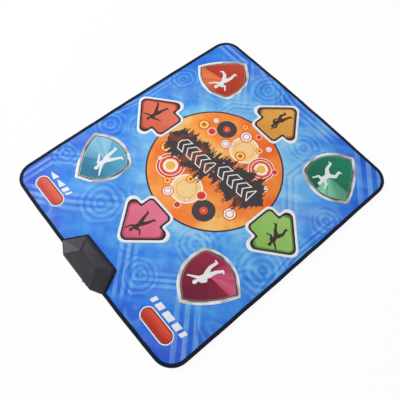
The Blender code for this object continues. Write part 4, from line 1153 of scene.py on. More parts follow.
@dataclass(frozen=True)
class Outline:
    """A closed outline with rounded corners, counter-clockwise, with cuts along each straight side.

    The ease is the share of an inset that comes off the radius of an outer corner. At 1 the inset is exact,
    and below that its outer corners stay rounder and its inner corners stay as sharp as they are.
    """

    corners: tuple[Corner, ...]
    cuts: int = 6
    ease: float = 1.0

    @classmethod
    def mirrored(cls, right: list[Corner], ease: float = 1.0) -> "Outline":
        """Makes an outline that is the same on its left and its right.

        Args:
            right: The corners on the right, from the bottom up.
            ease: The outline's ease.

        Returns:
            The outline.
        """
        left = [Corner(-c.x, c.y, c.radius, c.steps) for c in reversed(right) if abs(c.x) > MERGE_DISTANCE]
        return cls(tuple(right + left), ease=ease)

    def frames(self) -> list[tuple[Corner, Vector, Vector, float]]:
        """Looks at each corner.

        Returns:
            Each corner with the directions into and out of it and the signed angle between them.
        """
        found = []
        for index, corner in enumerate(self.corners):
            before = self.corners[index - 1]
            after = self.corners[(index + 1) % len(self.corners)]
            way_in = Vector((corner.x - before.x, corner.y - before.y, 0.0)).normalized()
            way_out = Vector((after.x - corner.x, after.y - corner.y, 0.0)).normalized()
            turn = math.atan2(way_in.x * way_out.y - way_in.y * way_out.x, way_in.dot(way_out))
            found.append((corner, way_in, way_out, turn))
        return found

    def inset(self, distance: float) -> "Outline":
        """The outline moved inwards by a distance.

        Args:
            distance: How far each side moves.

        Returns:
            An outline with as many points.
        """
        moved = []
        for corner, way_in, way_out, turn in self.frames():
            inward = Vector((-way_in.y - way_out.y, way_in.x + way_out.x, 0.0)).normalized()
            step = inward * (distance / math.cos(turn / 2))
            change = -distance * self.ease if turn > 0 else distance if self.ease == 1 else 0.0
            radius = max(LEAST_RADIUS, corner.radius + change)
            moved.append(Corner(corner.x + step.x, corner.y + step.y, radius, corner.steps))
        return Outline(tuple(moved), self.cuts, self.ease)

    def points(self, height: float) -> list[Vector]:
        """Draws the outline as a closed loop of edges.

        Args:
            height: The loop's height.

        Returns:
            The loop's points, in order round it.
        """
        bm = bmesh.new()
        ends = []
        for corner, way_in, _, turn in self.frames():
            reach = corner.radius * math.tan(abs(turn) / 2)
            start = Vector((corner.x, corner.y, height)) - way_in * reach
            inward = Vector((-way_in.y, way_in.x, 0.0)) * math.copysign(corner.radius, turn)
            first = bmesh.ops.create_vert(bm, co=start)["vert"][0]
            spun = bmesh.ops.spin(
                bm, geom=[first], cent=start + inward, axis=(0, 0, 1), angle=turn, steps=corner.steps
            )
            last = next(part for part in spun["geom_last"] if isinstance(part, bmesh.types.BMVert))
            ends.append((first, last))
        sides = []
        for index, (_, last) in enumerate(ends):
            first = ends[(index + 1) % len(ends)][0]
            made = bmesh.ops.contextual_create(bm, geom=[last, first])
            sides += made["edges"]
        bmesh.ops.subdivide_edges(bm, edges=sides, cuts=self.cuts)
        bm.edges.ensure_lookup_table()
        edge, vert = bm.edges[0], bm.edges[0].verts[0]
        points = []
        for _ in range(len(bm.edges)):
            points.append(vert.co.copy())
            vert = edge.other_vert(vert)
            edge = next(other for other in vert.link_edges if other is not edge)
        bm.free()
        return points


@dataclass(frozen=True)
class Ring:
    """A loop of a stepped form: how far in and how high it is, and the material from it to the next one."""

    inset: float
    height: float
    material: int = 0


def lofted(bm: bmesh.types.BMesh, outline: Outline, rings: list[Ring]) -> tuple[list, list]:
    """Draws one loop of an outline and extrudes it through the rest.

    Args:
        bm: The mesh to build in.
        outline: The outline that every loop follows.
        rings: The loops, in order.

    Returns:
        The points of the first loop and those of the last, in the same order.
    """
    paths = [outline.inset(ring.inset).points(ring.height) for ring in rings]
    first = [bmesh.ops.create_vert(bm, co=place)["vert"][0] for place in paths[0]]
    pairs = zip(first, first[1:] + first[:1])
    edges = [bmesh.ops.contextual_create(bm, geom=list(pair))["edges"][0] for pair in pairs]
    chain = first
    for ring, path in zip(rings, paths[1:]):
        made = bmesh.ops.extrude_edge_only(bm, edges=edges)["geom"]
        fresh = {part for part in made if isinstance(part, bmesh.types.BMVert)}
        edges = [part for part in made if isinstance(part, bmesh.types.BMEdge) and set(part.verts) <= fresh]
        for edge in edges:
            edge.link_faces[0].material_index = ring.material
        chain = [next(v for edge in vert.link_edges for v in edge.verts if v in fresh) for vert in chain]
        for vert, place in zip(chain, path):
            vert.co = place
    return first, chain


def stepped(bm: bmesh.types.BMesh, outline: Outline, rings: list[Ring]) -> None:
    """Lofts a closed form through loops of one outline and caps both ends.

    Args:
        bm: The mesh to build in.
        outline: The outline that every loop follows.
        rings: The loops, from the bottom one up. The last one's material is the top cap's.
    """
    first, last = lofted(bm, outline, rings)
    for chain, material in ((first, 0), (last, rings[-1].material)):
        rim = [edge for vert in chain for edge in vert.link_edges if edge.is_boundary]
        for face in bmesh.ops.contextual_create(bm, geom=list(dict.fromkeys(rim)))["faces"]:
            face.material_index = material


def everything(bm: bmesh.types.BMesh) -> list:
    """All points, edges and faces of a mesh."""
    return list(bm.verts) + list(bm.edges) + list(bm.faces)


def swell(x: float, y: float) -> float:
    """Works out the swell of the mat's soft top.

    Args:
        x: The place across the mat.
        y: The place towards the control box.

    Returns:
        How far the top stands above its lowest height there.
    """
    edge = min(MAT_WIDTH / 2 - abs(x), MAT_DEPTH / 2 - abs(y)) - SWELL_MARGIN
    aside = max(0.0, abs(x) - BOX_END_HALF)
    before = max(0.0, MAT_DEPTH / 2 - BOX_REACH - y)
    room = max(0.0, min(edge, math.hypot(aside, before)) / SWELL_FADE)
    fade = 1.0 if room > 1 else room * room * (3 - 2 * room)
    lift = SWELL_MEAN
    for way_x, way_y, length, phase, share in SWELL_WAVES:
        lift += share * math.sin(2 * math.pi * (x * way_x + y * way_y) / length + phase)
    return SWELL_HEIGHT * fade * lift


def soften(bm: bmesh.types.BMesh) -> None:
    """Cuts a flat form on a grid and lifts it with the mat's swell.

    Args:
        bm: The form, which is changed.
    """
    for axis, span in ((0, MAT_WIDTH), (1, MAT_DEPTH)):
        values = [vert.co[axis] for vert in bm.verts]
        count = math.ceil(span / GRID_PITCH)
        for step in range(1, count):
            place = -span / 2 + step * span / count
            if min(values) < place < max(values):
                origin, normal = Vector(ORIGIN), Vector(ORIGIN)
                origin[axis] = place
                normal[axis] = 1.0
                bmesh.ops.bisect_plane(bm, geom=everything(bm), plane_co=origin, plane_no=normal)
    for vert in bm.verts:
        vert.co.z += swell(vert.co.x, vert.co.y)


@dataclass
class Part:
    """A piece of the object: its mesh, its finishes and the body that carries it."""

    name: str
    materials: list[bpy.types.Material]
    body: str = "mat"
    slot: str = ""
    stands_for: tuple[str, ...] = ()
    sharp: float = 35.0

    def make(self, bm: bmesh.types.BMesh) -> bpy.types.Object:
        """Makes the piece from a finished mesh, which is freed.

        Args:
            bm: The mesh, in place.

        Returns:
            The piece, riding on its body.
        """
        bmesh.ops.recalc_face_normals(bm, faces=bm.faces)
        for face in bm.faces:
            face.smooth = True
        for edge in bm.edges:
            edge.smooth = edge.calc_face_angle(math.pi) < math.radians(self.sharp)
        mesh = bpy.data.meshes.new(self.name)
        bm.to_mesh(mesh)
        bm.free()
        piece = bpy.data.objects.new(self.name, mesh)
        bpy.context.scene.collection.objects.link(piece)
        for material in self.materials:
            mesh.materials.append(material)
        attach(piece, self.body)
        if self.stands_for:
            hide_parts(*self.stands_for)
        log.info("%s: %d faces", self.name, len(mesh.polygons))
        return piece


def copied(node: str) -> bmesh.types.BMesh:
    """Copies a CAD node's mesh and merges its doubled points.

    Args:
        node: The node's name.

    Returns:
        The copy.
    """
    bm = bmesh.new()
    bm.from_mesh(frame["nodes"][node].data)
    bmesh.ops.remove_doubles(bm, verts=bm.verts, dist=MERGE_DISTANCE)
    return bm


class ZoneKind(Enum):
    """The three shapes of press zone."""

    ARROW = "arrow"
    SHIELD = "shield"
    PILL = "pill"


OUTLINES = {
    ZoneKind.ARROW: Outline.mirrored([
        Corner(0.058, -0.089, 0.020),
        Corner(0.058, -0.047, 0.006),
        Corner(0.123, -0.047, 0.023),
        Corner(0.0, 0.097, 0.024),
    ], ease=0.55),
    ZoneKind.SHIELD: Outline.mirrored([
        Corner(0.0, -0.098, 0.290, 12),
        Corner(0.0885, -0.074, 0.005),
        Corner(0.095, 0.035, 0.112, 12),
        Corner(0.0, 0.0885, 0.032),
    ], ease=0.7),
    ZoneKind.PILL: Outline.mirrored([
        Corner(0.06275, -0.024, 0.0238),
        Corner(0.06275, 0.024, 0.0238),
    ]),
}


@dataclass(frozen=True)
class Zone:
    """One press zone of the mat: its shape, place and inks."""

    name: str
    kind: ZoneKind
    x: float
    y: float
    turn: float
    pale: Colour
    deep: Colour
    band: Colour
    ray: Colour | None = None
    ray_from: float = 0.0
    ray_span: float = 70.0


ZONES = (
    Zone(
        "up", ZoneKind.ARROW, 0.0, 0.248, 0.0,
        srgb(232, 122, 150), srgb(216, 92, 124), srgb(186, 70, 98),
    ),
    Zone(
        "left", ZoneKind.ARROW, -0.2935, -0.040, 90.0,
        srgb(160, 204, 112), srgb(134, 184, 88), srgb(96, 144, 62),
    ),
    Zone(
        "down", ZoneKind.ARROW, 0.0, -0.3465, 180.0,
        srgb(236, 176, 84), srgb(218, 150, 64), srgb(168, 112, 50),
    ),
    Zone(
        "right", ZoneKind.ARROW, 0.2935, -0.040, -90.0,
        srgb(236, 124, 96), srgb(216, 96, 76), srgb(178, 72, 62),
    ),
    Zone(
        "up_right", ZoneKind.SHIELD, 0.251, 0.199, 125.3,
        srgb(96, 176, 208), srgb(44, 118, 152), srgb(178, 222, 240), srgb(152, 206, 234), -52.0, 96.0,
    ),
    Zone(
        "up_left", ZoneKind.SHIELD, -0.251, 0.199, -125.3,
        srgb(158, 40, 68), srgb(104, 22, 46), srgb(196, 120, 140), srgb(216, 96, 128), -176.0, 78.0,
    ),
    Zone(
        "down_left", ZoneKind.SHIELD, -0.251, -0.315, -54.7,
        srgb(22, 128, 94), srgb(8, 84, 62), srgb(130, 190, 170), srgb(146, 224, 184), 98.0, 84.0,
    ),
    Zone(
        "down_right", ZoneKind.SHIELD, 0.251, -0.315, 54.7,
        srgb(196, 66, 42), srgb(160, 44, 32), srgb(232, 150, 120), srgb(242, 132, 76), 10.0, 96.0,
    ),
    Zone(
        "start", ZoneKind.PILL, 0.270, 0.400, 0.0,
        srgb(226, 104, 82), srgb(184, 46, 40), srgb(206, 70, 54),
    ),
    Zone(
        "select", ZoneKind.PILL, -0.270, 0.400, 0.0,
        srgb(226, 86, 60), srgb(182, 38, 34), srgb(204, 58, 44),
    ),
)


class PadInk(IntEnum):
    """The inks of a press pad, in the order of its materials."""

    OUTER_RIM = 0
    INNER_RIM = 1
    LINE = 2
    BAND = 3
    FILL = 4


@dataclass(frozen=True)
class PadForm:
    """The print of one kind of pad.

    The rim, line and band are how far in from the pad's edge each of them ends. The half is how far the
    fill's shade runs from the pad's middle.
    """

    rim: float
    line: float
    band: float
    half: float
    silver: bool


PAD_FORMS = {
    ZoneKind.ARROW: PadForm(0.0078, 0.0140, 0.0185, 0.09, False),
    ZoneKind.SHIELD: PadForm(0.0102, 0.0130, 0.0142, 0.09, True),
    ZoneKind.PILL: PadForm(0.0036, 0.0058, 0.0084, 0.020, False),
}


@dataclass
class Pad:
    """A press pad: a raised printed pad with a pale rim, a sunk dark line and a shaded fill."""

    zone: Zone
    rim: bpy.types.Material
    line: bpy.types.Material
    figure: bpy.types.Material
    edge_drop: float = 0.00035
    edge_middle: float = 0.00012
    edge_inset: float = 0.0004
    sink: float = 0.00014
    groove_slope: float = 0.0003
    inner_rim_from: float = 0.6
    head_base: float = -0.030

    def make(self) -> bpy.types.Object:
        """Builds the pad and its dancer on its press body.

        Returns:
            The pad.
        """
        zone = self.zone
        form = PAD_FORMS[zone.kind]
        middle = (zone.x, zone.y)
        fill = ZonePrint(
            f"fill_{zone.name}", zone.pale, zone.deep, middle, form.half,
            zone.ray, zone.ray_from, zone.ray_span,
        )
        band = Vinyl(f"band_{zone.name}", zone.band, 0.34)
        outer, inner = self.rim, self.rim
        if form.silver:
            seed = zone.x * 9 + zone.y * 5
            outer = SilverPrint(f"silver_{zone.name}", middle, *SILVER, seed).make()
            inner = SilverPrint(f"steel_{zone.name}", middle, *STEEL, seed + 2).make()
        bm = bmesh.new()
        stepped(bm, OUTLINES[zone.kind], self.rings(form))
        self.shade_head(bm)
        turn = Matrix.Rotation(math.radians(zone.turn), 3, "Z")
        bmesh.ops.rotate(bm, verts=bm.verts, cent=ORIGIN, matrix=turn)
        bmesh.ops.translate(bm, verts=bm.verts, vec=(zone.x, zone.y, 0.0))
        soften(bm)
        area = sum(face.calc_area() for face in bm.faces) / 2
        piece = Part(
            f"press_pad_{zone.name}",
            [outer, inner, self.line, band.make(), fill.make()],
            f"press_{zone.name}",
            f"print_{zone.name}",
            (f"pad_{zone.name}",),
        ).make(bm)
        figures = [Dancer(zone, POSES[zone.name], self.figure).make()] if zone.name in POSES else []
        return piece

    def rings(self, form: PadForm) -> list[Ring]:
        """Lists the pad's loops, from its underside up to its fill.

        Args:
            form: The print of this kind of pad.

        Returns:
            The loops.
        """
        sunk = PAD_TOP - self.sink
        return [
            Ring(0.0, COVER_BOTTOM),
            Ring(0.0, PAD_TOP - self.edge_drop),
            Ring(self.edge_middle, PAD_TOP - self.edge_middle),
            Ring(self.edge_inset, PAD_TOP),
            Ring(form.rim * self.inner_rim_from, PAD_TOP, PadInk.INNER_RIM),
            Ring(form.rim, PAD_TOP, PadInk.LINE),
            Ring(form.rim + self.groove_slope, sunk, PadInk.LINE),
            Ring(form.line - self.groove_slope, sunk, PadInk.LINE),
            Ring(form.line, PAD_TOP, PadInk.BAND),
            Ring(form.band, PAD_TOP, PadInk.FILL),
        ]

    def shade_head(self, bm: bmesh.types.BMesh) -> None:
        """Keeps an arrow's shaded band only along the two sides of its head.

        Args:
            bm: The pad before it is turned, which is changed.
        """
        for face in bm.faces:
            if face.material_index == PadInk.BAND and self.zone.kind is ZoneKind.ARROW:
                if face.calc_center_median().y < self.head_base:
                    face.material_index = PadInk.FILL


@dataclass(frozen=True)
class Pose:
    """A dancer's pose: places of the joints about the hips, in shares of the dancer's height.

    An arm is an elbow and a hand, and a leg is a knee, an ankle and a toe.
    """

    chest: Spot
    head: Spot
    arms: tuple[tuple[Spot, Spot], ...]
    legs: tuple[tuple[Spot, Spot, Spot], ...]


POSES = {
    "up": Pose(
        (0.02, 0.24), (0.05, 0.42),
        (((-0.15, 0.20), (-0.30, 0.30)), ((0.18, 0.34), (0.24, 0.52))),
        (((-0.14, -0.20), (-0.20, -0.42), (-0.28, -0.44)), ((0.12, -0.22), (0.17, -0.45), (0.24, -0.46))),
    ),
    "left": Pose(
        (-0.04, 0.23), (-0.07, 0.41),
        (((-0.22, 0.30), (-0.36, 0.40)), ((0.12, 0.14), (0.27, 0.20))),
        (((-0.12, -0.19), (-0.05, -0.42), (-0.13, -0.44)), ((0.19, -0.12), (0.33, -0.30), (0.40, -0.26))),
    ),
    "down": Pose(
        (0.03, 0.24), (0.01, 0.42),
        (((-0.12, 0.36), (-0.06, 0.52)), ((0.19, 0.17), (0.12, 0.02))),
        (((-0.09, -0.22), (-0.16, -0.44), (-0.24, -0.45)), ((0.15, -0.17), (0.09, -0.38), (0.17, -0.42))),
    ),
    "right": Pose(
        (-0.03, 0.24), (0.00, 0.42),
        (((-0.20, 0.22), (-0.36, 0.14)), ((0.14, 0.30), (0.30, 0.38))),
        (((-0.07, -0.23), (-0.11, -0.46), (-0.19, -0.47)), ((0.16, -0.15), (0.30, -0.33), (0.38, -0.35))),
    ),
    "up_right": Pose(
        (-0.02, 0.25), (-0.05, 0.43),
        (((-0.18, 0.37), (-0.31, 0.50)), ((0.16, 0.20), (0.29, 0.08))),
        (((-0.15, -0.20), (-0.26, -0.42), (-0.34, -0.42)), ((0.10, -0.23), (0.12, -0.47), (0.20, -0.48))),
    ),
    "up_left": Pose(
        (0.04, 0.24), (0.08, 0.42),
        (((-0.12, 0.16), (-0.03, 0.04)), ((0.21, 0.33), (0.35, 0.43))),
        (((-0.10, -0.22), (-0.22, -0.42), (-0.29, -0.39)), ((0.12, -0.21), (0.09, -0.45), (0.17, -0.47))),
    ),
    "down_left": Pose(
        (0.00, 0.24), (-0.03, 0.42),
        (((-0.19, 0.27), (-0.25, 0.43)), ((0.18, 0.26), (0.25, 0.42))),
        (((-0.20, -0.13), (-0.16, -0.35), (-0.24, -0.38)), ((0.19, -0.15), (0.24, -0.38), (0.32, -0.39))),
    ),
    "down_right": Pose(
        (-0.04, 0.24), (-0.02, 0.42),
        (((-0.20, 0.17), (-0.33, 0.28)), ((0.14, 0.33), (0.24, 0.49))),
        (((-0.08, -0.23), (-0.04, -0.46), (-0.12, -0.48)), ((0.18, -0.17), (0.34, -0.22), (0.40, -0.15))),
    ),
}


DANCER_HEIGHTS = {ZoneKind.ARROW: 0.084, ZoneKind.SHIELD: 0.098}


@dataclass(frozen=True)
class Build:
    """A dancer's build, in shares of the dancer's height: places of some joints, then radii.

    The waist is placed in shares of the way to the chest, the shoulders from the chest and the hips from the
    middle, each with its distance aside and up. The hand is as long as a share of the forearm.
    """

    waist_place: Spot = (0.4, 0.42)
    shoulder_place: Spot = (0.086, 0.026)
    hip_place: Spot = (0.046, -0.012)
    neck_rise: float = 0.03
    crown_rise: float = 0.02
    hand_share: float = 0.25
    belly: float = 0.090
    waist: float = 0.074
    chest: float = 0.100
    neck: float = 0.050
    nape: float = 0.038
    chin: float = 0.066
    crown: float = 0.060
    shoulder: float = 0.046
    elbow: float = 0.036
    wrist: float = 0.024
    palm: float = 0.028
    fingers: float = 0.016
    thigh: float = 0.080
    knee: float = 0.054
    ankle: float = 0.040
    heel: float = 0.034
    toe: float = 0.022


@dataclass
class Dancer:
    """A plain dancing figure printed on a press pad, upright towards the far edge."""

    zone: Zone
    pose: Pose
    finish: bpy.types.Material
    build: Build = Build()
    steps: int = 12

    def make(self) -> bpy.types.Object:
        """Joins the limbs into one flat print and lays it on the pad.

        Returns:
            The print.
        """
        name = self.zone.name
        limbs = bmesh.new()
        for first, second in self.limbs():
            self.limb(limbs, first, second)
        head = bmesh.new()
        x, y = self.pose.head
        self.limb(head, (x, y, self.build.chin), (x, y + self.build.crown_rise, self.build.crown))
        piece = Part(f"dancer_{name}", [self.finish], f"press_{name}", f"print_{name}").make(limbs)
        extra = Part(f"dancer_head_{name}", [self.finish], f"press_{name}").make(head)
        combine(piece, extra, "UNION")
        bm = bmesh.new()
        bm.from_mesh(piece.data)
        soften(bm)
        bm.to_mesh(piece.data)
        bm.free()
        return piece

    def limbs(self) -> list[tuple[tuple[float, float, float], tuple[float, float, float]]]:
        """Lists the limbs.

        Returns:
            Pairs of round ends, each with its place and radius in shares of the height.
        """
        chest, head, build = self.pose.chest, self.pose.head, self.build
        waist = (chest[0] * build.waist_place[0], chest[1] * build.waist_place[1])
        aside, up = build.shoulder_place
        shoulders = [(chest[0] + side * aside, chest[1] + up) for side in (-1, 1)]
        aside, up = build.hip_place
        hips = [(side * aside, up) for side in (-1, 1)]
        pairs = [
            ((0.0, 0.0, build.belly), (*waist, build.waist)),
            ((*waist, build.waist), (*chest, build.chest)),
            ((*shoulders[0], build.shoulder), (*shoulders[1], build.shoulder)),
            ((chest[0], chest[1] + build.neck_rise, build.neck), (*head, build.nape)),
        ]
        for shoulder, (elbow, hand) in zip(shoulders, self.pose.arms):
            beyond = tuple(end + (end - start) * build.hand_share for start, end in zip(elbow, hand))
            pairs += [
                ((*shoulder, build.shoulder), (*elbow, build.elbow)),
                ((*elbow, build.elbow), (*hand, build.wrist)),
                ((*hand, build.palm), (*beyond, build.fingers)),
            ]
        for hip, (knee, ankle, toe) in zip(hips, self.pose.legs):
            pairs += [
                ((*hip, build.thigh), (*knee, build.knee)),
                ((*knee, build.knee), (*ankle, build.ankle)),
                ((*ankle, build.heel), (*toe, build.toe)),
            ]
        return pairs

    def limb(self, bm: bmesh.types.BMesh, *ends: tuple[float, float, float]) -> None:
        """Adds a flat limb between two round ends.

        Args:
            bm: The mesh to build in.
            ends: Each end's place and radius, in shares of the height.
        """
        height = DANCER_HEIGHTS[self.zone.kind]
        verts = []
        for x, y, radius in ends:
            for step in range(self.steps):
                angle = 2 * math.pi * step / self.steps
                place = Vector((x + radius * math.cos(angle), y + radius * math.sin(angle), 0.0)) * height
                for z in (PAD_TOP - PRINT_HALF, PAD_TOP + PRINT_HALF):
                    spot = (self.zone.x + place.x, self.zone.y + place.y, z)
                    verts += bmesh.ops.create_vert(bm, co=spot)["vert"]
        hull = bmesh.ops.convex_hull(bm, input=verts)
        spare = {part for key in ("geom_interior", "geom_unused") for part in hull[key]}
        spare = [part for part in spare if isinstance(part, bmesh.types.BMVert)]
        bmesh.ops.delete(bm, geom=spare, context="VERTS")


@dataclass
class Cover:
    """The mat's printed top sheet, with a window for each press pad."""

    finish: bpy.types.Material

    def make(self) -> bpy.types.Object:
        """Builds the sheet from the frame's cover.

        Returns:
            The sheet.
        """
        bm = copied("cover_sheet")
        soften(bm)
        part = Part("printed_cover", [self.finish], slot="printed_vinyl", stands_for=("cover_sheet",))
        return part.make(bm)


@dataclass
class Layer:
    """A soft layer inside the mat, cut to the frame's solid, with its cut edges eased."""

    node: str
    material_slot: str
    finish: bpy.types.Material
    rests_on: tuple[str, ...]
    ease: float = 0.0002
    sharp: float = 1.2

    def make(self) -> bpy.types.Object:
        """Builds the layer.

        Returns:
            The layer.
        """
        bm = copied(self.node)
        rim = [edge for edge in bm.edges if edge.is_manifold and edge.calc_face_angle() > self.sharp]
        level = [edge for edge in rim if abs(edge.verts[0].co.z - edge.verts[1].co.z) < MERGE_DISTANCE]
        bmesh.ops.bevel(
            bm, geom=level, offset=self.ease, segments=1, profile=0.5, affect="EDGES", material=-1,
            clamp_overlap=True,
        )
        area = sum(face.calc_area() for face in bm.faces) / 2
        part = Part(f"layer_{self.node}", [self.finish], slot=self.material_slot, stands_for=(self.node,))
        piece = part.make(bm)
        list(self.rests_on)
        return piece


@dataclass
class Inlay:
    """The thin inlay on the control box's sloping top, with eased edges and a shadow gap round it."""

    finish: bpy.types.Material
    gap: float = 0.0006
    ease: float = 0.00025

    def make(self) -> bpy.types.Object:
        """Builds the inlay from the frame's plate, drawn in by the gap.

        Returns:
            The inlay.
        """
        bm = copied("top_panel")
        low, high = (Vector(corner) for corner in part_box("top_panel"))
        middle, span = (low + high) / 2, high - low
        across, up = 1 - 2 * self.gap / span.x, 1 - 2 * self.gap / span.y
        bmesh.ops.scale(bm, vec=(across, up, up), space=Matrix.Translation(-middle), verts=bm.verts)
        bmesh.ops.dissolve_limit(bm, angle_limit=0.02, verts=bm.verts, edges=bm.edges)
        face = max(bm.faces, key=lambda face: face.calc_area() * face.normal.z)
        bmesh.ops.bevel(
            bm, geom=list(face.edges), offset=self.ease, segments=2, profile=0.5, affect="EDGES", material=-1
        )
        return Part("box_inlay", [self.finish], slot="inlay", stands_for=("top_panel",)).make(bm)


def mat_outline() -> Outline:
    """Draws the mat's outline, with slightly bowed sides.

    Returns:
        The outline.
    """
    side, end = MAT_WIDTH / 2 - SIDE_BOW, MAT_DEPTH / 2 - END_BOW
    side_height, side_radius = bow(end, SIDE_BOW)
    end_height, end_radius = bow(side, END_BOW)
    corner = MAT_CORNER_RADIUS
    return Outline((
        Corner(0.0, -end - end_height, end_radius, 40),
        Corner(side, -end, corner, 14),
        Corner(side + side_height, 0.0, side_radius, 46),
        Corner(side, end, corner, 14),
        Corner(0.0, end + end_height, end_radius, 40),
        Corner(-side, end, corner, 14),
        Corner(-side - side_height, 0.0, side_radius, 46),
        Corner(-side, -end, corner, 14),
    ), cuts=2)


def bow(half_length: float, height: float) -> tuple[float, float]:
    """The corner height and radius that bow a side of a half length out by a height in its middle."""
    top = height / (1 - BOW_SHARE / 2)
    return top, BOW_SHARE * half_length * half_length / top


def box_prism(grow: float, bottom: float, top: float, ease: float = 0.0) -> bmesh.types.BMesh:
    """Builds a prism on the control box's outline.

    Args:
        grow: How far its sides stand outside the outline.
        bottom: Its lower height.
        top: Its upper height.
        ease: How much its upper edge is eased.

    Returns:
        The prism.
    """
    far = MAT_DEPTH / 2
    outline = Outline((
        Corner(BOX_INNER_HALF, far - BOX_REACH, LEAST_RADIUS, 2),
        Corner(BOX_END_HALF, far - BOX_END_BACK, LEAST_RADIUS, 2),
        Corner(BOX_OUTER_HALF, far + BOX_OVERHANG, LEAST_RADIUS, 2),
        Corner(-BOX_OUTER_HALF, far + BOX_OVERHANG, LEAST_RADIUS, 2),
        Corner(-BOX_END_HALF, far - BOX_END_BACK, LEAST_RADIUS, 2),
        Corner(-BOX_INNER_HALF, far - BOX_REACH, LEAST_RADIUS, 2),
    ), cuts=0)
    bm = bmesh.new()
    eased = [Ring(-grow, top - ease), Ring(ease - grow, top)] if ease else [Ring(-grow, top)]
    stepped(bm, outline, [Ring(-grow, bottom)] + eased)
    return bm


@dataclass
class BaseShadeStrip:
    """A near-black strip on the printed cover round the control box's base, as painted shade where the box
    meets the mat.
    """

    finish: bpy.types.Material
    width: float = 0.0032
    height: float = 0.0012
    sink: float = 0.0002
    clearance: float = 0.0002
    end_back: float = 0.0115

    def make(self) -> bpy.types.Object:
        """Builds the strip round the box's three sides on the mat.

        Returns:
            The strip.
        """
        # Painted shade: a near-black strip round the box's base where it stands on the cover
        bm = box_prism(self.width, COVER_TOP - self.sink, COVER_TOP + self.height, self.height * 0.4)
        place = Vector((0.0, MAT_DEPTH / 2 - self.end_back, 0.0))
        bmesh.ops.bisect_plane(bm, geom=everything(bm), plane_co=place, plane_no=(0, 1, 0), clear_outer=True)
        bmesh.ops.holes_fill(bm, edges=[edge for edge in bm.edges if edge.is_boundary], sides=0)
        piece = Part("box_base_shade", [self.finish], slot="dark_plastic").make(bm)
        cutter = Part("box_base_shade_cutter", [self.finish]).make(box_prism(self.clearance, CUT_LOW, CUT_HIGH))
        combine(piece, cutter, "DIFFERENCE")
        return piece


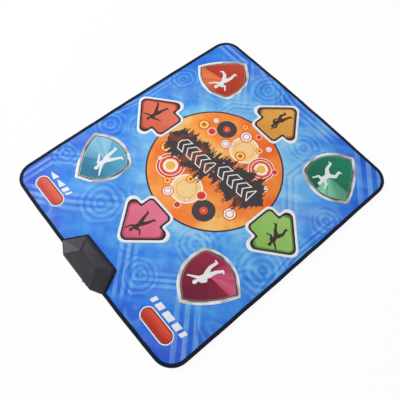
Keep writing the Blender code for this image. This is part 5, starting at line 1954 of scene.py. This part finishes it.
@dataclass
class EdgeTape:
    """The folded tape round the mat's edge, with a row of stitches above and below."""

    finish: bpy.types.Material
    thread: bpy.types.Material
    leg: float = 0.011
    thickness: float = 0.0007
    corner: float = 0.0016
    corner_middle: float = 0.0005
    inner_corner: float = 0.0018
    wander: float = 0.0006
    pull: float = 0.00012
    dimple: float = 0.00007
    stitch_inset: float = 0.0088
    stitch_pitch: float = 0.0046
    stitch_length: float = 0.0034
    stitch_radius: float = 0.00028
    stitch_stop: float = 0.003
    tuck_half: float = 0.0965
    tuck_low: float = 0.0013
    tuck_high: float = 0.0084

    def make(self) -> list[bpy.types.Object]:
        """Builds the tape and its stitches."""
        return [self.tape(), self.stitches()]

    def section(self) -> list[Ring]:
        """Lists the loops of the tape's section.

        Returns:
            The loops, round the outside from the lower leg's end and then back along the inside.
        """
        top, wall, leg = TAPE_TOP, self.thickness, self.leg
        corner, middle, inner = self.corner, self.corner_middle, self.inner_corner
        return [
            Ring(leg, 0.0), Ring(leg * 0.55, 0.0), Ring(corner, 0.0), Ring(middle, middle), Ring(0.0, corner),
            Ring(0.0, top / 2), Ring(0.0, top - corner), Ring(middle, top - middle), Ring(corner, top),
            Ring(leg * 0.55, top), Ring(leg - 0.0003, top), Ring(leg, top - 0.0002), Ring(leg, top - wall),
            Ring(corner, top - wall), Ring(wall, top - inner), Ring(wall, inner), Ring(corner, wall),
            Ring(leg, wall),
        ]

    def tape(self) -> bpy.types.Object:
        """Sweeps the section round the mat and cuts it out at the control box.

        Returns:
            The tape.
        """
        section = self.section()
        bm = bmesh.new()
        first, last = lofted(bm, mat_outline(), section + section[:1])
        bmesh.ops.weld_verts(bm, targetmap=dict(zip(last, first)))
        self.pucker(bm)
        part = Part("edge_tape", [self.finish], slot="edge_tape", stands_for=("edge_binding",), sharp=50)
        piece = part.make(bm)
        for form in self.cutters():
            cutter = Part("edge_tape_cutter", [self.finish]).make(form)
            combine(piece, cutter, "DIFFERENCE")
        return piece

    def cutters(self) -> list[bmesh.types.BMesh]:
        """Builds the forms that cut the tape at the control box.

        Returns:
            Two forms that cut the legs at the box's outline and one that cuts the wall a little within it.
        """
        middle = bmesh.new()
        scale = Matrix.Diagonal((2 * self.tuck_half, 0.1, CUT_HIGH - CUT_LOW, 1.0))
        place = Matrix.Translation((0.0, MAT_DEPTH / 2, (CUT_LOW + CUT_HIGH) / 2))
        bmesh.ops.create_cube(middle, size=1.0, matrix=place @ scale)
        lower = box_prism(BOX_GAP, CUT_LOW, self.tuck_low)
        upper = box_prism(BOX_GAP, self.tuck_high, CUT_HIGH)
        return [lower, upper, middle]

    def pucker(self, bm: bmesh.types.BMesh) -> None:
        """Draws the tape in a little, unevenly, as its stitches pull it, and lets its line wander.

        Args:
            bm: The tape, which is changed.
        """
        for vert in bm.verts:
            along = math.atan2(vert.co.y, vert.co.x)
            fine = math.sin(along * 97) * 0.6 + math.sin(along * 61 + 1.3) * 0.4
            slow = math.sin(along * 13 + 0.4) * 0.5 + math.sin(along * 29 + 2.0) * 0.5
            outward = Vector((vert.co.x, vert.co.y, 0.0)).normalized()
            vert.co += outward * (self.wander * (1 + slow) - self.pull * (1 + fine))
            if vert.co.z > TAPE_TOP - HAIR:
                vert.co.z -= self.dimple * (1 + fine)

    def stitches(self) -> bpy.types.Object:
        """Lays two rows of short stitches along the tape's legs.

        Returns:
            The stitches, as one piece.
        """
        bm = bmesh.new()
        points = mat_outline().inset(self.stitch_inset).points(0.0)
        lying = Matrix.Rotation(math.pi / 2, 4, "Y")
        for place, heading in spaced(points, self.stitch_pitch):
            for height in (TAPE_TOP, self.stitch_radius):
                if in_box(place.x, place.y, self.stitch_stop):
                    continue
                middle = Vector((place.x, place.y, height))
                bmesh.ops.create_cone(
                    bm, cap_ends=True, segments=6, radius1=self.stitch_radius, radius2=self.stitch_radius,
                    depth=self.stitch_length,
                    matrix=Matrix.Translation(middle) @ Matrix.Rotation(heading, 4, "Z") @ lying,
                )
        return Part("tape_stitches", [self.thread], slot="edge_tape").make(bm)


def spaced(points: list[Vector], pitch: float) -> list[tuple[Vector, float]]:
    """Finds places at an even pitch along a closed line.

    Args:
        points: The line's points, in order.
        pitch: The pitch, which is changed a little so that it divides the line's length.

    Returns:
        The places, each with the line's heading there.
    """
    lengths = [(b - a).length for a, b in zip(points, points[1:] + points[:1])]
    count = round(sum(lengths) / pitch)
    step = sum(lengths) / count
    found = []
    run = 0.0
    for start, end, length in zip(points, points[1:] + points[:1], lengths):
        way = end - start
        while len(found) * step < run + length and len(found) < count:
            share = (len(found) * step - run) / length
            found.append((start + way * share, math.atan2(way.y, way.x)))
        run += length
    return found


def in_box(x: float, y: float, margin: float) -> bool:
    """Tells whether a place lies at the control box.

    Args:
        x: The place across the mat.
        y: The place towards the control box.
        margin: How far outside the box's outline still counts as within it.

    Returns:
        Whether it does.
    """
    far = MAT_DEPTH / 2 - BOX_END_BACK
    inner = MAT_DEPTH / 2 - BOX_REACH
    slope = (BOX_END_HALF - BOX_INNER_HALF) / (far - inner)
    half = BOX_END_HALF - max(0.0, far - y) * slope
    return y > inner - margin and abs(x) < half + margin


def combine(piece: bpy.types.Object, tool: bpy.types.Object, operation: str) -> None:
    """Joins a form to a piece or cuts it out, and removes the form.

    Args:
        piece: The piece to change.
        tool: The form.
        operation: UNION or DIFFERENCE.
    """
    modifier = piece.modifiers.new("combine", "BOOLEAN")
    modifier.operation = operation
    modifier.solver = "EXACT"
    modifier.use_self = operation == "UNION"
    modifier.object = tool
    bpy.context.view_layer.update()
    result = bpy.data.meshes.new_from_object(piece.evaluated_get(bpy.context.evaluated_depsgraph_get()))
    piece.modifiers.clear()
    piece.data = result
    bpy.data.objects.remove(tool)


@dataclass
class MenuMarks:
    """A row of plain slanted marks printed on the cover beside a menu pad."""

    name: str
    x: float
    y: float
    shapes: tuple[tuple[Spot, ...], ...]
    finish: bpy.types.Material
    slant: float = 0.25
    radius: float = 0.0012

    def make(self) -> bpy.types.Object:
        """Builds the marks as one thin print.

        Returns:
            The print.
        """
        bm = bmesh.new()
        for shape in self.shapes:
            corners = [Corner(self.x + x + self.slant * y, self.y + y, self.radius, 3) for x, y in shape]
            outline = Outline(tuple(corners), cuts=1)
            stepped(bm, outline, [Ring(0.0, COVER_TOP - PRINT_HALF), Ring(0.0, COVER_TOP + PRINT_HALF)])
        soften(bm)
        return Part(f"marks_{self.name}", [self.finish], slot="printed_vinyl").make(bm)


def slab(left: float, right: float, half: float = 0.010) -> tuple[Spot, ...]:
    """An upright bar between two places, before it is slanted."""
    return (left, -half), (right, -half), (right, half), (left, half)


def wedge(left: float, right: float, half: float = 0.010) -> tuple[Spot, ...]:
    """A triangle that points to the right."""
    return (left, -half), (right, 0.0), (left, half)


START_MARKS = (slab(-0.056, -0.049), slab(-0.042, -0.028), wedge(-0.019, 0.013), wedge(0.017, 0.049))
SELECT_MARKS = (
    slab(-0.070, -0.057), slab(-0.048, -0.026), slab(-0.016, 0.016), slab(0.026, 0.048), slab(0.057, 0.070),
)


class Workshop:
    """Dresses the whole mat."""

    def __init__(self) -> None:
        """Makes the finishes that several pieces share."""
        self.cover = CoverPrint("cover_print").make()
        self.rim = Vinyl("rim_white", srgb(240, 242, 246), 0.34).make()
        self.line = Vinyl("line_dark", srgb(44, 34, 38), 0.40).make()
        self.dark = Vinyl("figure_dark", srgb(58, 44, 44), 0.38).make()
        self.light = Vinyl("figure_light", srgb(236, 238, 242), 0.34).make()
        self.tape = Webbing("tape_black", srgb(14, 23, 40)).make()
        self.thread = Webbing("thread_black", srgb(30, 36, 50), 0.0004).make()
        self.foam = Foam("foam", srgb(228, 224, 210)).make()
        self.rubber = Rubber("anti_slip", srgb(40, 42, 46)).make()
        self.inlay = Moulded("inlay", srgb(62, 61, 68), 0.36, 2600.0, 0.00001).make()
        # Near-black finish of the strip that paints the shade round the control box's base
        self.base_shade = Moulded("base_shade_dark", srgb(12, 14, 22), 0.6).make()

    def run(self) -> None:
        """Builds every piece."""
        Inlay(self.inlay).make()
        # Painted shade round the control box's base
        BaseShadeStrip(self.base_shade).make()
        Layer("base_sheet", "anti_slip", self.rubber, ("floor",)).make()
        Layer("foam_core", "foam", self.foam, ("layer_base_sheet",)).make()
        Layer("spacer_foam", "foam", self.foam, ("lower_film",)).make()
        cover = Cover(self.cover).make()
        pieces = EdgeTape(self.tape, self.thread).make()
        for zone in ZONES:
            Pad(zone, self.rim, self.line, self.light if zone.kind is ZoneKind.SHIELD else self.dark).make()
        pieces.append(MenuMarks("start", 0.278, 0.360, START_MARKS, self.rim).make())
        pieces.append(MenuMarks("select", -0.272, 0.360, SELECT_MARKS, self.rim).make())
        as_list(pieces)


def make_camera() -> None:
    """Places the camera at the photograph's viewing angle."""
    forward = Vector(CAMERA_FORWARD).normalized()
    side = forward.cross(Vector(CAMERA_UP)).normalized()
    up = side.cross(forward)
    data = bpy.data.cameras.new("camera")
    data.lens = CAMERA_LENS
    camera = bpy.data.objects.new("camera", data)
    bpy.context.scene.collection.objects.link(camera)
    turn = Matrix((side, up, -forward)).transposed().to_4x4()
    camera.matrix_world = Matrix.Translation(CAMERA_PLACE) @ turn
    bpy.context.scene.camera = camera


@dataclass(frozen=True)
class Lamp:
    """A large soft light aimed at the mat."""

    name: str
    place: tuple[float, float, float]
    size: float
    power: float

    def make(self) -> None:
        """Hangs the light."""
        data = bpy.data.lights.new(self.name, "AREA")
        data.size = self.size
        data.energy = self.power
        lamp = bpy.data.objects.new(self.name, data)
        lamp.location = self.place
        lamp.rotation_euler = Vector(self.place).to_track_quat("Z", "Y").to_euler()
        bpy.context.scene.collection.objects.link(lamp)


def make_floor() -> None:
    """Lays the pale floor, which the camera sees as white and which keeps the mat's shadow."""
    bm = bmesh.new()
    bmesh.ops.create_grid(bm, x_segments=2, y_segments=2, size=FLOOR_HALF)
    mesh = bpy.data.meshes.new("floor")
    bm.to_mesh(mesh)
    bm.free()
    mesh.transform(Matrix.Translation((0.0, 0.0, -FLOOR_GAP)))
    floor = bpy.data.objects.new("floor", mesh)
    bpy.context.scene.collection.objects.link(floor)
    material = bpy.data.materials.new("floor")
    material.use_nodes = True
    graph = Graph(material.node_tree)
    graph.tree.nodes.clear()
    diffuse = graph.node("ShaderNodeBsdfDiffuse")
    diffuse.inputs["Color"].default_value = grey(FLOOR_TONE)
    glow = graph.node("ShaderNodeEmission")
    mixed = graph.node("ShaderNodeMixShader")
    graph.feed(mixed.inputs[0], graph.math("MULTIPLY", seen_share(graph), FLOOR_GLOW))
    graph.feed(mixed.inputs[1], diffuse.outputs[0])
    graph.feed(mixed.inputs[2], glow.outputs[0])
    graph.feed(graph.node("ShaderNodeOutputMaterial").inputs[0], mixed.outputs[0])
    mesh.materials.append(material)


def make_light() -> None:
    """Lights the scene from a pale world, a large key lamp and a weak fill."""
    world = bpy.context.scene.world or bpy.data.worlds.new("world")
    bpy.context.scene.world = world
    world.use_nodes = True
    graph = Graph(world.node_tree)
    graph.tree.nodes.clear()
    background = graph.node("ShaderNodeBackground")
    background.inputs["Color"].default_value = WHITE
    more = 1 - WORLD_STRENGTH
    strength = graph.math("MULTIPLY_ADD", seen_share(graph), more, WORLD_STRENGTH)
    graph.feed(background.inputs["Strength"], strength)
    graph.feed(graph.node("ShaderNodeOutputWorld").inputs[0], background.outputs[0])
    Lamp("key", (3.4, 1.3, 2.45), 1.8, 202.0).make()
    Lamp("fill", (-2.3, -1.5, 0.6), 1.0, 8.0).make()


def seen_share(graph: Graph) -> bpy.types.NodeSocket:
    """Tells which rays see the floor and the world as the background.

    Args:
        graph: The graph to work in.

    Returns:
        One for a ray from the camera, a reflection or a view through glass, and otherwise zero.
    """
    path = graph.node("ShaderNodeLightPath")
    seen = graph.math("ADD", path.outputs["Is Camera Ray"], path.outputs["Is Glossy Ray"])
    return graph.math("MINIMUM", graph.math("ADD", seen, path.outputs["Is Transmission Ray"]), 1.0)


def dress_nodes() -> None:
    """Gives the frame's own parts their finishes, by the record's material slots."""
    finishes = {
        "box_plastic": Moulded("box_plastic", srgb(52, 50, 55)).make(),
        "floor_plastic": Moulded("floor_plastic", srgb(46, 45, 49), 0.5).make(),
        "dark_plastic": Moulded("dark_plastic", srgb(30, 30, 33), 0.4).make(),
        "knob_plastic": Moulded("knob_plastic", srgb(96, 94, 98), 0.38).make(),
        "connector_plastic": Moulded("connector_plastic", srgb(224, 220, 206), 0.4).make(),
        "steel": Metal("steel", srgb(176, 178, 180)).make(),
        "plated": Metal("plated", srgb(206, 206, 202), 0.24).make(),
        "board": Moulded("board", srgb(28, 104, 62), 0.3).make(),
        "sleeve": Moulded("sleeve", srgb(38, 44, 96), 0.3).make(),
        "cell_sleeve": Moulded("cell_sleeve", srgb(150, 156, 166), 0.3).make(),
        "film": Film("film", srgb(214, 218, 214), srgb(70, 72, 74)).make(),
        "contact_patch": Film("contact_patch", srgb(92, 94, 96), srgb(44, 46, 48), 0.003).make(),
    }
    for part in frame["record"]["subparts"]:
        finish = finishes.get(part["material_slot"])
        if finish:
            materials = frame["nodes"][part["node"]].data.materials
            materials.clear()
            materials.append(finish)


def main() -> None:
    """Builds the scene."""
    logging.basicConfig(level=logging.INFO, format="%(message)s")
    bpy.context.scene.view_settings.view_transform = "Standard"
    make_camera()
    make_floor()
    make_light()
    dress_nodes()
    Workshop().run()


if __name__ == "__main__":
    main()
